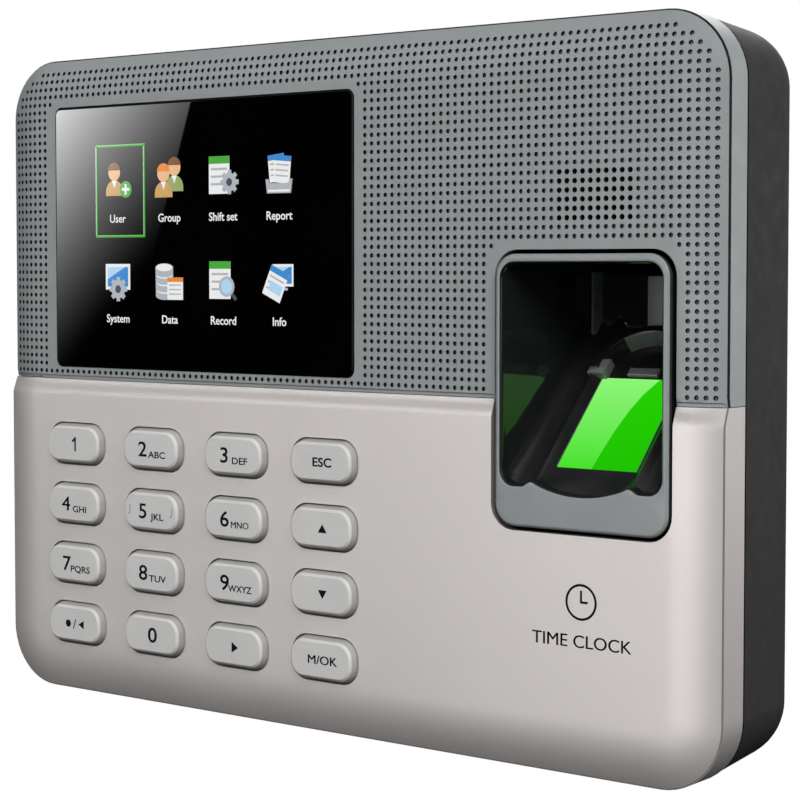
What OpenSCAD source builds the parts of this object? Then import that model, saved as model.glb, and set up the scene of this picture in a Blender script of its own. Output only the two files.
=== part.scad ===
// Wall-mounted punch time clock with a display, a telephone keypad and a fingerprint reader.
// Upright frame: x to the right, y into the wall, z up. The origin lies on the wall plane, behind the
// middle of the front. Every sub-part is drawn lying on its back, with y up the wall and z as the
// height above the wall, and stand() turns it upright.

/* [Housing] */
// Width of the housing
body_w = 178; // [176:1:184]
// Height of the housing
body_h = 136; // [134:1:140]
// Height of the flat upper front above the wall
front = 35; // [35:0.5:37]
// Corner radius of the front, seen from the front
corner_r = 12.5; // [12:0.5:14]
// How far the lower cover stands in front of the upper one
step = 1.2; // [1:0.1:1.4]
// Wall thickness of the front covers
cover_t = 2; // [1.8:0.1:2.2]

/* [Display] */
// Width of the display lens
lens_w = 82.4; // [80:0.2:84]
// Height of the display lens
lens_h = 55.4; // [54:0.2:56]
// Middle of the lens, left of the middle of the housing
lens_x = -32.5; // [-34:0.5:-32]
// Middle of the lens above the middle of the housing
lens_y = 29.8; // [29.6:0.1:30.2]

/* [Keypad] */
// Distance between the key columns
key_pitch_x = 22.9; // [22:0.1:23]
// Distance between the key rows
key_pitch_y = 12.9; // [12.6:0.1:13]
// Width of a key
key_w = 16.3; // [15.5:0.1:17.5]
// Height of a key
key_h = 8.6; // [8:0.1:9.8]
// How far a key stands proud of the lower cover
key_proud = 1.6; // [1.2:0.1:1.8]
// How far a key travels
key_travel = 0.9; // [0.6:0.1:0.9]

/* [Fingerprint reader] */
// Middle of the reader, right of the middle of the housing
well_x = 61.3; // [61:0.1:61.5]
// Middle of the reader above the middle of the housing
well_y = 1.1; // [0.8:0.1:1.4]
// Width of the reader's bezel
bezel_w = 36.3; // [36:0.1:36.5]
// Height of the reader's bezel
bezel_h = 49.4; // [49:0.2:50]
// Width of the glass
glass_w = 16.7; // [16:0.1:17]
// Length of the glass along its slope
glass_l = 21.9; // [20:0.1:22]

/* [Wall plate] */
// Width of the wall plate
plate_w = 104; // [100:1:104]
// Height of the wall plate
plate_h = 84; // [80:1:84]
// Distance between the wall screws across
screw_dx = 84; // [80:1:86]
// Distance between the wall screws up the wall
screw_dy = 62; // [60:1:64]
// How far the terminal lifts to come off the hooks
lift = 9; // [8:0.5:9]

/* [Hidden] */
$fn = 48;
eps = 0.01;

// Stack of heights above the wall
wall_gap = 0.4;
rim = 26.2;
band_foot = 27;
lower_front = front + step;
web_back = 25.5;
web_front = 27;
board_back = 12.4;
board_front = 14;
key_board_front = 28.2;
bezel_front = front + 1.95;
bezel_t = 1.35;

// Front covers
roll_w = corner_r - 2.25;
roll_drop = 2.2;
roll_r = (roll_w * roll_w + roll_drop * roll_drop) / (2 * roll_drop);
seam_y = -0.6;
seam_gap = 0.1;
ogee_y = -3.8;
notch_gap = 0.6;
post_r = 2.6;
pilot_r = 1.15;
upper_posts = [[-78.5, 58], [-80, 7], [20, 60.5], [20, 7]];
lower_posts = [[-81, -13], [-81, -54], [26, -13], [26, -54], [63, -57]];

// Speaker holes
hole_pitch = 1.64;
hole_r = 0.52;
speaker_cols = 10;
speaker_rows = 6;
speaker_x = 55.8;
speaker_y = 40.4;
speaker_r = 10;
speaker_front = 32;
speaker_mid = [speaker_x + 4.5 * hole_pitch, speaker_y - 2 * hole_pitch + 1];

// Display
lens_proud = 0.3;
lens_t = 1.4;
lens_r = 1.5;
lens_chamfer = 0.35;
ledge = 8;
tape_t = 0.2;
lcd_w = 70;
lcd_h = 52;
lcd_foot_x = 31;
lcd_foot_y = 22;
lcd_ribbon_y = lens_y - 8;
lcd_back = 29.4;
lcd_front = front - cover_t - 0.2;

// Keypad, from its left column and top row
key_x0 = -66.4;
key_y0 = -14.4;
key_r = 3.7;
key_bevel = 0.45;
key_draft = 0.5;
key_gap = 0.3;
flange = 1;
flange_back = 32.9;
flange_front = 33.9;
plunger_back = 29.7;
dome_r = 3.2;
dome_h = 0.4;
mat_front = 29.2;
mat_ring_front = 31.6;
pad_x = key_x0 + 1.5 * key_pitch_x;
pad_y = key_y0 - 1.5 * key_pitch_y;
pad_w = 3 * key_pitch_x + 21;
pad_h = 3 * key_pitch_y + 13;
ribbon_x = -34;
ribbon_y = -61.8;
ribbon_w = 20;
ribbon_t = 0.3;
ribbon_foot = 18.4;

// Fingerprint reader; the glass lies in the plane where y + z = slope_sum
slope_sum = 18;
glass_foot_y = -12.9;
glass_leg = glass_l * sqrt(0.5);
opening_w = 33.4;
opening_r = 2.6;
opening_top = 24;
opening_foot = -15.9;
lip_low = -17.1;
lip_r = 23;
well_t = 1.3;
well_back = 6.5;
floor_t = 3;
ridge_x = 10;
ridge_h = 1.5;
channel_r = (ridge_x * ridge_x + ridge_h * ridge_h) / (2 * ridge_h);
gutter_x = 14;
gutter_r = 3.2;

// Rear cover
rear_inset = 0.2;
rear_r = corner_r - rear_inset;
rear_fillet = rear_r - 1.3;
rear_lean = 2;
rear_t = 2.2;
plate_x = -14;
plate_t = 1.5;
plate_hole_r = 2.25;
recess_floor = 5.2;
recess_t = 2;
frame_t = 1.6;
rear_lip = rear_inset + rear_t + 0.5;
rear_lip_r = rear_r - rear_t - 0.5;
tongue_w = 20;
tongue_room = 2;
flange_y = -66.2;
flange_t = 1.5;
flange_top = 14;
lock_z = 8;
hook_w = 10;
hook_t = 1.5;
hook_l = 8.5;
hook_back = 7.5;
hook_front = 8.8;
hook_rows = [-22, 24];
hook_dx = 68;
case_screw_x = 72;
case_screw_y = 51;
case_head_z = 13.2;
boss_front = 21.2;

// Coin cell
cell_r = 10;
cell_seat = 1.2;

// Underside ports
jack_x = 16;
jack_face = -62.8;
jack_axis = board_front + 6.3;
plug_r = 5;
usb_x = -44;
usb_face = -66.6;
usb_w = 13.1;
usb_t = 5.7;

// Machine screws: half width of the head, its height, and half width of the shank
M3 = [2.8, 1.8, 1.5];
M2 = [2.2, 1.4, 1.1];
board_screws = [[-60, 54], [34, 54], [-60, -50], [34, -50]];
reader_screws = [[46, -29], [76, -29], [46, 30], [76, 30]];

KEY_NAMES = [
    "key_1", "key_2", "key_3", "key_esc",
    "key_4", "key_5", "key_6", "key_up",
    "key_7", "key_8", "key_9", "key_down",
    "key_left", "key_0", "key_right", "key_ok"
];

// ---- Shared shapes ----

module stand() {
    rotate([90, 0, 0]) children();
}

// Rounded rectangle about the origin
module plate_outline(w, h, r) {
    square([w - 2 * r, h], center = true);
    square([w, h - 2 * r], center = true);
    for (sx = [-1, 1], sy = [-1, 1])
        translate([sx * (w / 2 - r), sy * (h / 2 - r)]) circle(r);
}

// Rounded block between two heights
module block(w, h, r, z0, z1) {
    translate([0, 0, z0]) linear_extrude(z1 - z0) plate_outline(w, h, r);
}

// Straight box between two heights, from its corner
module box(x, y, w, h, z0, z1) {
    translate([x, y, z0]) cube([w, h, z1 - z0]);
}

// Solid with a rounded-rectangle plan whose rim has the section given as the child. The section's
// x runs outward from the corner's centre, and its y is the height, from z0 to z1 where x is 0.
module rimmed(w, h, r, z0, z1) {
    cx = w / 2 - r;
    cy = h / 2 - r;
    translate([-cx, -cy, z0]) cube([2 * cx, 2 * cy, z1 - z0]);
    for (half = [0, 180]) rotate([0, 0, half]) {
        translate([cx, cy, 0]) rotate_extrude(angle = 90) children();
        translate([-cx, cy, 0]) rotate([0, 0, 90]) rotate_extrude(angle = 90) children();
        translate([cx, cy, 0]) rotate([90, 0, 0]) linear_extrude(2 * cy) children();
        translate([-cx, cy, 0]) rotate([0, 0, 90]) rotate([90, 0, 0]) linear_extrude(2 * cx) children();
    }
}

// Section of a front cover's rim: flat, then a soft roll that ends in a crisp edge and a flat band
module roll_section(top, inset) {
    intersection() {
        translate([0, band_foot]) square([corner_r - inset, top - inset - band_foot]);
        union() {
            translate([0, band_foot]) square([corner_r - roll_w, top - band_foot]);
            translate([corner_r - roll_w, top - roll_r]) circle(roll_r - inset);
        }
    }
}

// Section of the rear cover's rim: a side that leans in towards the back and turns into it through a
// large fillet
rear_slant = atan(rear_lean / (rim - wall_gap));
fillet_x = rear_r - (rim - wall_gap - rear_fillet) * tan(rear_slant) - rear_fillet / cos(rear_slant);

module rear_section(inset) {
    foot = wall_gap + inset;
    middle = wall_gap + rear_fillet;
    reach = rear_fillet - inset;
    intersection() {
        translate([0, foot]) square([rear_r, rim - foot]);
        union() {
            translate([0, foot]) square([fillet_x, rim]);
            translate([fillet_x, middle]) circle(reach);
            polygon([[0, middle], [fillet_x + reach * cos(rear_slant), middle - reach * sin(rear_slant)],
                [rear_r - inset / cos(rear_slant), rim], [0, rim]]);
        }
    }
}

module cover_solid(top, inset) {
    rimmed(body_w, body_h, corner_r, band_foot, top - inset) roll_section(top, inset);
}

// Everything above or below a line across the front
module above(y, z0, z1) {
    box(-body_w, y, 2 * body_w, body_h, z0, z1);
}

module below(y, z0, z1) {
    box(-body_w, y - body_h, 2 * body_w, body_h, z0, z1);
}

// Room in the front covers for the fingerprint reader
module reader_notch(z0, z1) {
    translate([well_x, well_y, 0])
        block(bezel_w + 2 * notch_gap, bezel_h + 2 * notch_gap, 4.6, z0, z1);
}

module posts(places, z0, z1, r) {
    for (p = places) translate([p[0], p[1], z0]) cylinder(h = z1 - z0, r = r);
}

// Round wire through a list of points
module wire(points, r) {
    for (i = [1:len(points) - 1]) {
        d = points[i] - points[i - 1];
        translate(points[i - 1]) rotate([0, acos(d.z / norm(d)), atan2(d.y, d.x)])
            cylinder(h = norm(d), r = r, $fn = 16);
    }
    for (p = points) translate(p) sphere(r, $fn = 16);
}

// Pan-head screw of a size, with its head towards the wall and its tip towards the front
module screw(head_z, size, length) {
    head_r = size[0];
    head_h = size[1];
    slot_w = 0.6;
    translate([0, 0, head_z]) difference() {
        union() {
            cylinder(h = head_h, r = head_r);
            cylinder(h = head_h + length, r = size[2]);
        }
        translate([-head_r * 0.6, -slot_w / 2, -eps]) cube([head_r * 1.2, slot_w, head_h / 2]);
        translate([-slot_w / 2, -head_r * 0.6, -eps]) cube([slot_w, head_r * 1.2, head_h / 2]);
    }
}

// ---- Wall plate ----

// Hook whose lip points up the wall, behind the rear cover's recess floor
module hook(y) {
    box(-hook_w / 2, y, hook_w, hook_t, plate_t - eps, hook_front);
    box(-hook_w / 2, y, hook_w, hook_l, hook_back, hook_front);
}

module wall_plate() {
    window_w = 40;
    window_h = 16;
    window_y = 18;
    color("silver") stand() difference() {
        union() {
            translate([plate_x, 0, 0]) block(plate_w, plate_h, 4, 0, plate_t);
            box(plate_x - tongue_w / 2, flange_y, tongue_w, plate_h / 2, 0, plate_t);
            box(plate_x - tongue_w / 2, flange_y, tongue_w, flange_t, 0, flange_top);
            for (sx = [-1, 1], y = hook_rows)
                translate([plate_x + sx * hook_dx / 2, 0, 0]) hook(y);
        }
        for (sx = [-1, 1], sy = [-1, 1])
            translate([plate_x + sx * screw_dx / 2, sy * screw_dy / 2, -1])
                cylinder(h = plate_t + 2, r = plate_hole_r);
        translate([plate_x, window_y, 0]) block(window_w, window_h, 5, -1, plate_t + 1);
        translate([plate_x, flange_y - 1, lock_z]) rotate([-90, 0, 0])
            cylinder(h = flange_t + 2, r = M3[2] + 0.2);
    }
}

// Screw that goes up through the plate's flange and locks the terminal down
module lock_screw() {
    color("gray") stand() translate([plate_x, flange_y - M3[1], lock_z]) rotate([-90, 0, 0])
        screw(0, M3, 10);
}

// ---- Rear cover ----

module rear_solid(inset) {
    rimmed(body_w - 2 * rear_inset, body_h - 2 * rear_inset, rear_r, wall_gap + inset, rim)
        rear_section(inset);
}

recess_x0 = plate_x - plate_w / 2 - 2;
recess_y0 = -plate_h / 2 - lift - 3;
recess_w = plate_w + 4;
recess_h = plate_h + lift + 5;

// Hollow that takes the wall plate, its tongue and its flange, with room to lift the terminal
module plate_room(grow) {
    x = plate_x - tongue_w / 2 - tongue_room - grow;
    y = -body_h / 2 - 1;
    w = tongue_w + 2 * (tongue_room + grow);
    flange_room = 4;
    box(recess_x0 - grow, recess_y0 - grow, recess_w + 2 * grow, recess_h + 2 * grow,
        -1, recess_floor + grow);
    box(x, y, w, recess_y0 - y + 4, -1, plate_t + 1.7 + grow);
    box(x, y, w, flange_y + flange_room + grow - y, -1, flange_top + 2 + grow);
}

module rear_cover() {
    hook_slot_h = lift + 2.2;
    boss_r = 4.6;
    color("#2e2e2f") stand() difference() {
        union() {
            difference() {
                rear_solid(0);
                rear_solid(rear_t);
            }
            intersection() {
                rear_solid(0);
                plate_room(recess_t);
            }
            for (sx = [-1, 1], sy = [-1, 1])
                translate([sx * case_screw_x, sy * case_screw_y, 2.4])
                    cylinder(h = boss_front - 2.4, r = boss_r);
            translate([plate_x, -60.4, lock_z]) rotate([-90, 0, 0]) cylinder(h = 6.4, r = 3.4);
        }
        plate_room(0);
        for (sx = [-1, 1], y = hook_rows)
            box(plate_x + sx * hook_dx / 2 - hook_w / 2 - 0.5, y - lift - 0.6,
                hook_w + 1, hook_slot_h, 4, 8);
        for (sx = [-1, 1], sy = [-1, 1])
            translate([sx * case_screw_x, sy * case_screw_y, 0]) {
                translate([0, 0, -1]) cylinder(h = case_head_z + M3[1] + 1, r = M3[0] + 0.5);
                cylinder(h = 30, r = M3[2] + 0.2);
            }
        translate([plate_x, -64, lock_z]) rotate([-90, 0, 0]) cylinder(h = 12, r = M3[2] + 0.08);
        translate([jack_x, -60, jack_axis]) rotate([90, 0, 0]) cylinder(h = 12, r = plug_r);
        box(usb_x - usb_w / 2 - 0.4, -70, usb_w + 0.8, 10, board_front - 0.4, board_front + usb_t + 0.4);
    }
}

module case_screws() {
    color("dimgray") stand() for (sx = [-1, 1], sy = [-1, 1])
        translate([sx * case_screw_x, sy * case_screw_y, 0]) screw(case_head_z, M3, 10);
}

// ---- Frame between the front covers and the rear cover ----

// Upright ring, set in from the housing's outline, with the given outer corner radius
module frame_ring(inset, t, r, z0, z1) {
    difference() {
        block(body_w - 2 * inset, body_h - 2 * inset, r, z0, z1);
        block(body_w - 2 * (inset + t), body_h - 2 * (inset + t), r - t, z0 - 1, z1 + 1);
    }
}

module mid_frame() {
    color("#1c1c1d") stand() difference() {
        union() {
            difference() {
                block(body_w - 2 * rear_inset, body_h - 2 * rear_inset, rear_r, rim, web_front);
                block(body_w - 8, body_h - 8, corner_r - 2, rim - 1, web_front + 1);
            }
            frame_ring(cover_t + 0.3, frame_t, corner_r - cover_t - 0.3, web_front - eps, 30.5);
            frame_ring(rear_lip, frame_t, rear_lip_r, 23, rim + eps);
            block(body_w - 2 * rear_lip, body_h - 2 * rear_lip, rear_lip_r, web_back, web_front);
            for (sx = [-1, 1], sy = [-1, 1])
                translate([sx * case_screw_x, sy * case_screw_y, boss_front])
                    cylinder(h = web_front - boss_front, r = 3.6);
            posts(board_screws, board_front, web_front, 3);
            for (sx = [-1, 1], sy = [-1, 1])
                translate([lens_x + sx * lcd_foot_x, lens_y + sy * lcd_foot_y, 0])
                    block(6, 6, 1, web_back, lcd_back);
        }
        translate([lens_x + 4, lcd_ribbon_y, 0]) block(24, 4, 1, 20, 30);
        reader_notch(20, 32);
        translate([speaker_mid[0], speaker_mid[1], 20]) cylinder(h = 12, r = speaker_r + 0.6);
        box(ribbon_x - 1, ribbon_y - 0.8, ribbon_w + 2, 4.6, 20, 30);
        posts(upper_posts, 20, 30, 1.35);
        posts(lower_posts, 20, 30, 1.35);
        posts(board_screws, 10, 24, M2[2] + 0.05);
        for (sx = [-1, 1], sy = [-1, 1])
            translate([sx * case_screw_x, sy * case_screw_y, 20])
                cylinder(h = 6.2, r = M3[2] + 0.05);
        posts(reader_screws, 20, 30, 1.3);
        translate([jack_x, -60, jack_axis]) rotate([90, 0, 0]) cylinder(h = 6, r = plug_r + 0.15);
    }
}

// ---- Front covers ----

module speaker_holes() {
    for (i = [0:speaker_cols - 1], j = [0:speaker_rows - 1])
        translate([speaker_x + i * hole_pitch, speaker_y - j * hole_pitch, front - cover_t - 1])
            cylinder(h = cover_t + 2, r = hole_r, $fn = 16);
}

module upper_front_cover() {
    color("#8d9193") stand() difference() {
        union() {
            difference() {
                intersection() {
                    cover_solid(front, 0);
                    above(seam_y + seam_gap / 2, 0, 50);
                }
                cover_solid(front, cover_t);
            }
            posts(upper_posts, web_front, front - cover_t + eps, post_r);
        }
        translate([lens_x, lens_y, 0])
            block(lens_w + 0.2, lens_h + 0.2, lens_r + 0.1, front - lens_t + lens_proud - tape_t, front + 1);
        translate([lens_x, lens_y, 0])
            block(lens_w - 2 * ledge, lens_h - ledge, 1, front - 5, front + 1);
        reader_notch(20, 40);
        speaker_holes();
        posts(upper_posts, web_front - 1, front - cover_t - 0.6, pilot_r);
    }
}

// The lower cover rises in an S-shaped step: share of the height against share of the step
ogee = [[0, 0], [0.3, 0.12], [0.7, 0.88], [1, 1]];

// Thin slice across the front covers at mid height
module slice(y, top) {
    translate([0, y, 0]) rotate([90, 0, 0]) linear_extrude(eps) for (side = [0, 1]) mirror([side, 0])
        translate([-body_w / 2 + corner_r, 0]) {
            square([body_w / 2 - corner_r + eps, top]);
            mirror([1, 0]) roll_section(top, 0);
        }
}

module lower_front_cover() {
    seam = seam_y - seam_gap / 2;
    color("#bdb9b6") stand() difference() {
        union() {
            difference() {
                union() {
                    intersection() {
                        cover_solid(lower_front, 0);
                        below(ogee_y, 0, 50);
                    }
                    intersection() {
                        for (k = [0:2]) hull() for (e = [ogee[k], ogee[k + 1]])
                            slice(seam + e[0] * (ogee_y - seam), front + e[1] * step, $fn = 96);
                        below(seam, band_foot, 50);
                    }
                }
                intersection() {
                    cover_solid(front, cover_t);
                    above(-7, 0, 50);
                }
                intersection() {
                    cover_solid(lower_front, cover_t);
                    below(-6, 0, 50);
                }
            }
            posts(lower_posts, web_front, lower_front - cover_t + eps, post_r);
        }
        reader_notch(20, 40);
        for (k = [0:15]) at_key(k)
            block(key_w + 2 * key_gap, key_h + 2 * key_gap, key_r + key_gap, 30, 40);
        posts(lower_posts, web_front - 1, lower_front - cover_t - 0.6, pilot_r);
    }
}

module cover_screws() {
    color("silver") stand() for (p = concat(upper_posts, lower_posts))
        translate([p[0], p[1], 0]) screw(web_back - M2[1], M2, 6);
}

// ---- Display ----

module display_lens() {
    top = front + lens_proud;
    r = lens_r + 0.5;
    color("#050505") stand() translate([lens_x, lens_y, 0])
        rimmed(lens_w, lens_h, r, top - lens_t, top)
            polygon([[0, top - lens_t], [r, top - lens_t], [r, top - lens_chamfer],
                [r - lens_chamfer, top], [0, top]]);
}

module lens_tape() {
    z = front + lens_proud - lens_t - tape_t;
    color("white") stand() translate([lens_x, lens_y, 0]) difference() {
        block(lens_w - 1, lens_h - 1, 1.5, z, z + tape_t);
        block(lens_w - 2 * ledge + 1, lens_h - ledge + 1, 1, z - 1, z + 1);
    }
}

module lcd_glass() {
    color("#20262c") stand() translate([lens_x, lens_y, 0])
        block(lcd_w - 2.4, lcd_h - 2.4, 0.5, lcd_back + 1, lcd_front - 0.6);
}

module lcd_tray() {
    color("silver") stand() translate([lens_x, lens_y, 0]) difference() {
        block(lcd_w, lcd_h, 0.8, lcd_back, lcd_front);
        block(lcd_w - 2, lcd_h - 2, 0.6, lcd_back + 0.8, lcd_front - 0.4);
        block(lcd_w - 6, lcd_h - 5, 0.6, lcd_front - 1, lcd_front + 1);
    }
}

// Flat cable folded from the back of the display down to the main board
module lcd_ribbon() {
    x = lens_x - 6;
    y = lcd_ribbon_y;
    front = lcd_back - 0.05;
    back = 16.9;
    color("orange") stand() {
        box(x, y, ribbon_w, 12, front - ribbon_t, front);
        box(x, y, ribbon_w, ribbon_t, back + ribbon_t, front);
        box(x, y - 6, ribbon_w, 6 + ribbon_t, back, back + ribbon_t);
    }
}

// ---- Fingerprint reader ----

// Turns to the glass's plane: x across, y up the slope from the glass's foot, z out of the glass
module on_slope() {
    translate([well_x, glass_foot_y, slope_sum - glass_foot_y]) rotate([-45, 0, 0]) children();
}

// Opening with a scalloped foot: a shallow arc in the middle and a small peak at each side of it
module reader_opening(z0, z1) {
    h = opening_top - opening_foot;
    peak_r = 1.6;
    translate([well_x, 0, z0]) linear_extrude(z1 - z0) difference() {
        union() {
            translate([0, opening_top - h / 2]) plate_outline(opening_w, h, opening_r);
            translate([0, lip_low + lip_r]) intersection() {
                circle(lip_r);
                translate([-ridge_x, -lip_r]) square([2 * ridge_x, lip_r]);
            }
        }
        for (s = [-1, 1]) translate([s * ridge_x, opening_foot - 0.6]) circle(peak_r);
    }
}

module reader_bezel() {
    color("#8d9193") stand() difference() {
        translate([well_x, well_y, 0])
            rimmed(bezel_w, bezel_h, 4.1, bezel_front - bezel_t, bezel_front)
                polygon([[0, bezel_front - bezel_t], [4.1, bezel_front - bezel_t],
                    [4.1, bezel_front - 0.4], [3.7, bezel_front], [0, bezel_front]]);
        reader_opening(bezel_front - 3, bezel_front + 1);
    }
}

// Ear that a reader screw bites into, joined to the well's wall
module screw_ear(p) {
    near = p[1] > 0 ? well_y + bezel_h / 2 - 1 : well_y - bezel_h / 2 + 1;
    translate([p[0], p[1], web_front]) cylinder(h = 4, r = 3);
    box(p[0] - 2, min(p[1], near), 4, abs(p[1] - near), web_front, web_front + 4);
}

// Cross-section of the finger rest: two ridges, a shallow channel between and a gutter beside each
module rest_section() {
    difference() {
        translate([-opening_w / 2 - 0.5, -floor_t]) square([opening_w + 1, floor_t + ridge_h]);
        translate([0, channel_r]) circle(channel_r, $fn = 96);
        for (s = [-1, 1]) translate([s * gutter_x, ridge_h + 2.2]) circle(gutter_r);
    }
}

module finger_well() {
    low = well_y - bezel_h / 2 + 0.7;
    top = bezel_front - bezel_t;
    color("#141516") stand() {
        difference() {
            translate([well_x, well_y, 0]) block(bezel_w - 0.6, bezel_h - 0.8, 3.8, well_back - well_t, top);
            difference() {
                box(well_x - opening_w / 2, -22, opening_w, opening_top + 22, well_back, top + 1);
                box(well_x - opening_w / 2 - 1, -22.1, opening_w + 2, 3.3, 30, top + 2);
            }
            box(well_x - opening_w / 2, -30, opening_w, 38, 0, well_back + 1);
        }
        difference() {
            for (p = reader_screws) screw_ear(p);
            posts(reader_screws, 20, 32, 1.15);
        }
        difference() {
            intersection() {
                on_slope() translate([0, 60, 0]) rotate([90, 0, 0]) linear_extrude(90) rest_section();
                box(well_x - opening_w / 2 - 0.4, low, opening_w + 0.8, 60, well_back - 0.4, top);
            }
            on_slope() translate([-glass_w / 2 - 0.1, -0.1, -8]) cube([glass_w + 0.2, glass_l + 0.2, 20]);
        }
        intersection() {
            on_slope() difference() {
                translate([-11, glass_l + 0.6, -1]) cube([22, 7, 4.4]);
                translate([0, glass_l - 3.2, -2]) cylinder(h = 12, r = 8.6);
            }
            box(well_x - opening_w / 2, low, opening_w, 60, well_back - 0.4, top);
        }
    }
}

// Right-angled prism whose long face is the green glass that the finger rests on
module reader_prism() {
    color("lime") stand() translate([well_x + glass_w / 2, glass_foot_y, slope_sum - glass_foot_y])
        rotate([0, -90, 0]) linear_extrude(glass_w) polygon([[0, 0], [-glass_leg, glass_leg], [-glass_leg, 0]]);
}

// Black cradle round the prism, with a tube for the camera behind it
module prism_holder() {
    y0 = glass_foot_y;
    z1 = slope_sum - y0;
    z0 = z1 - glass_leg;
    y1 = y0 + glass_leg - 4.1;
    wall = 1.6;
    color("#222222") stand() difference() {
        translate([well_x + glass_w / 2 + wall, 0, 0]) rotate([0, -90, 0])
            linear_extrude(glass_w + 2 * wall) polygon([
                [z1 - 5, y0 - 1.4], [z1 - 5, y0 + 0.5], [z0 - 1.4, y1], [z0 - 6, y1], [z0 - 6, y0 - 1.4]
            ]);
        box(well_x - glass_w / 2 - 0.05, y0 - 0.05, glass_w + 0.1, 30, z0 - 0.05, z1 + 5);
        translate([well_x, y0 + glass_leg / 2, 0]) cylinder(h = z1, r = 3.6);
        box(well_x - glass_w / 2 + 1.5, y0 - 3, glass_w - 3, 5, z0 + 1, z1 - 6.5);
    }
}

module reader_camera() {
    y = glass_foot_y + glass_leg / 2;
    z = slope_sum - glass_foot_y - glass_leg;
    color("dimgray") stand() translate([well_x, y, 0]) {
        translate([0, 0, 6.2]) difference() {
            cylinder(h = z - 7.2, r = 3.5);
            translate([0, 0, z - 9]) cylinder(h = 4, r = 2.2);
        }
        box(-4.5, -4.5, 9, 9, 5.4, 6.4);
    }
}

// Green lamps under the prism
module reader_lamps() {
    pitch = 3.6;
    color("#d8ffd0") stand() for (i = [-1.5:1.5])
        translate([well_x + i * pitch, glass_foot_y - 3.6, 22]) box(-1, 0, 2, 1.9, -1.2, 1.2);
}

module reader_board() {
    y0 = glass_foot_y;
    color("darkgreen") stand() {
        box(well_x - 13, -19, 26, 26, 4.2, 5.4);
        box(well_x - 9.5, y0 - 4.8, 19, 1.2, 17.5, 28);
        box(well_x - 11, y0 - 4.8, 3, 1.2, 5.4, 28);
    }
}

module reader_screw_set() {
    color("silver") stand() for (p = reader_screws)
        translate([p[0], p[1], 0]) screw(web_back - M2[1], M2, 4.4);
}

// Four wires from the back of the reader's board, past the wall-plate recess, to the main board
module reader_cable() {
    color("white") stand() for (i = [0:3])
        translate([0, -16 + i * 1.4, 0])
            wire([[51, 0, 3.6], [42.75, 0, 3.6], [42.75, 0, 10.2], [35.5, 0, 10.2], [35.5, 0, 11.85]], 0.5);
}

// ---- Keypad ----

module at_key(k) {
    translate([key_x0 + (k % 4) * key_pitch_x, key_y0 - floor(k / 4) * key_pitch_y, 0]) children();
}

// Key cap with its retaining flange behind the cover and its plunger over the dome
module key(k) {
    foot = flange_front - eps;
    top = lower_front + key_proud;
    edge = key_r - key_draft;
    color("#b7b5b4") stand() at_key(k) {
        rimmed(key_w, key_h, key_r, foot, top)
            polygon([[0, foot], [key_r, foot], [key_r, lower_front - 0.2], [edge, top - key_bevel],
                [edge - key_bevel, top], [0, top]]);
        block(key_w + 2 * flange, key_h + 2 * flange, key_r, flange_back, flange_front);
        block(8.4, 4.4, 1, plunger_back, flange_back + eps);
    }
}

module keypad_mat() {
    color("lightgray") stand() difference() {
        union() {
            translate([pad_x, pad_y, 0]) block(pad_w - 1, pad_h - 1, 3, key_board_front, mat_front);
            for (k = [0:15]) at_key(k) block(12.4, 9.6, 2, 29, mat_ring_front);
        }
        for (k = [0:15]) at_key(k) block(9.4, 7, 1.5, 28, 33);
    }
}

module keypad_domes() {
    color("gold") stand() for (k = [0:15]) at_key(k)
        translate([0, 0, key_board_front]) rotate_extrude()
            polygon([[0, 0], [dome_r, 0], [dome_r * 0.75, dome_h * 0.8], [0, dome_h]]);
}

module keypad_board() {
    color("darkgreen") stand() difference() {
        translate([pad_x, pad_y, 0]) block(pad_w, pad_h, 2, web_front, key_board_front);
        posts(lower_posts, 20, 30, post_r + 0.4);
    }
}

// Flat cable from the keypad board through the frame to the main board
module keypad_ribbon() {
    front = web_front - 0.1;
    color("orange") stand() {
        box(ribbon_x, ribbon_y, ribbon_w, 3.6, front - ribbon_t, front);
        box(ribbon_x, ribbon_y, ribbon_w, ribbon_t, ribbon_foot, front);
        box(ribbon_x, ribbon_y, ribbon_w, 8, ribbon_foot, ribbon_foot + ribbon_t);
    }
}

// ---- Electronics ----

module main_board() {
    color("darkgreen") stand() difference() {
        box(-64, -58, 102, 116, board_back, board_front);
        posts(board_screws, 10, 16, 1.3);
    }
}

module board_chips() {
    color("#26282a") stand() {
        box(-22, 6, 14, 14, board_front, board_front + 1.4);
        box(0, 4, 12, 18, board_front, board_front + 1.1);
        box(-54, -12, 8, 10, board_front, board_front + 1.6);
        box(14, -24, 10, 10, board_front, board_front + 1.4);
        box(-38.5, 11, 22, 5, board_front, board_front + 2.6);
        box(ribbon_x - 1, -56, ribbon_w + 2, 4, board_front, ribbon_foot - 0.05);
        box(33, -17.5, 5, 7, board_front, board_front + 1);
        for (i = [0:2]) translate([26, -10 + i * 10, board_front]) cylinder(h = 7, r = 3.1);
    }
}

module board_screw_set() {
    color("silver") stand() for (p = board_screws)
        translate([p[0], p[1], 0]) screw(board_back - M2[1], M2, 8);
}

module at_cell() {
    translate([-42, 38, board_front]) children();
}

module coin_cell() {
    color("silver") stand() at_cell() {
        translate([0, 0, cell_seat]) cylinder(h = 2.4, r = cell_r);
        translate([0, 0, cell_seat]) cylinder(h = 3.2, r = cell_r - 1.4);
    }
}

module cell_holder() {
    color("#1b1b1b") stand() at_cell() difference() {
        cylinder(h = 4.6, r = cell_r + 1.6);
        translate([0, 0, cell_seat]) cylinder(h = 5, r = cell_r + 0.1);
        for (y = [-cell_r, cell_r]) box(-5, y - 3, 10, 6, cell_seat, 6);
    }
}

module at_speaker() {
    translate([speaker_mid[0], speaker_mid[1], 0]) children();
}

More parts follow.
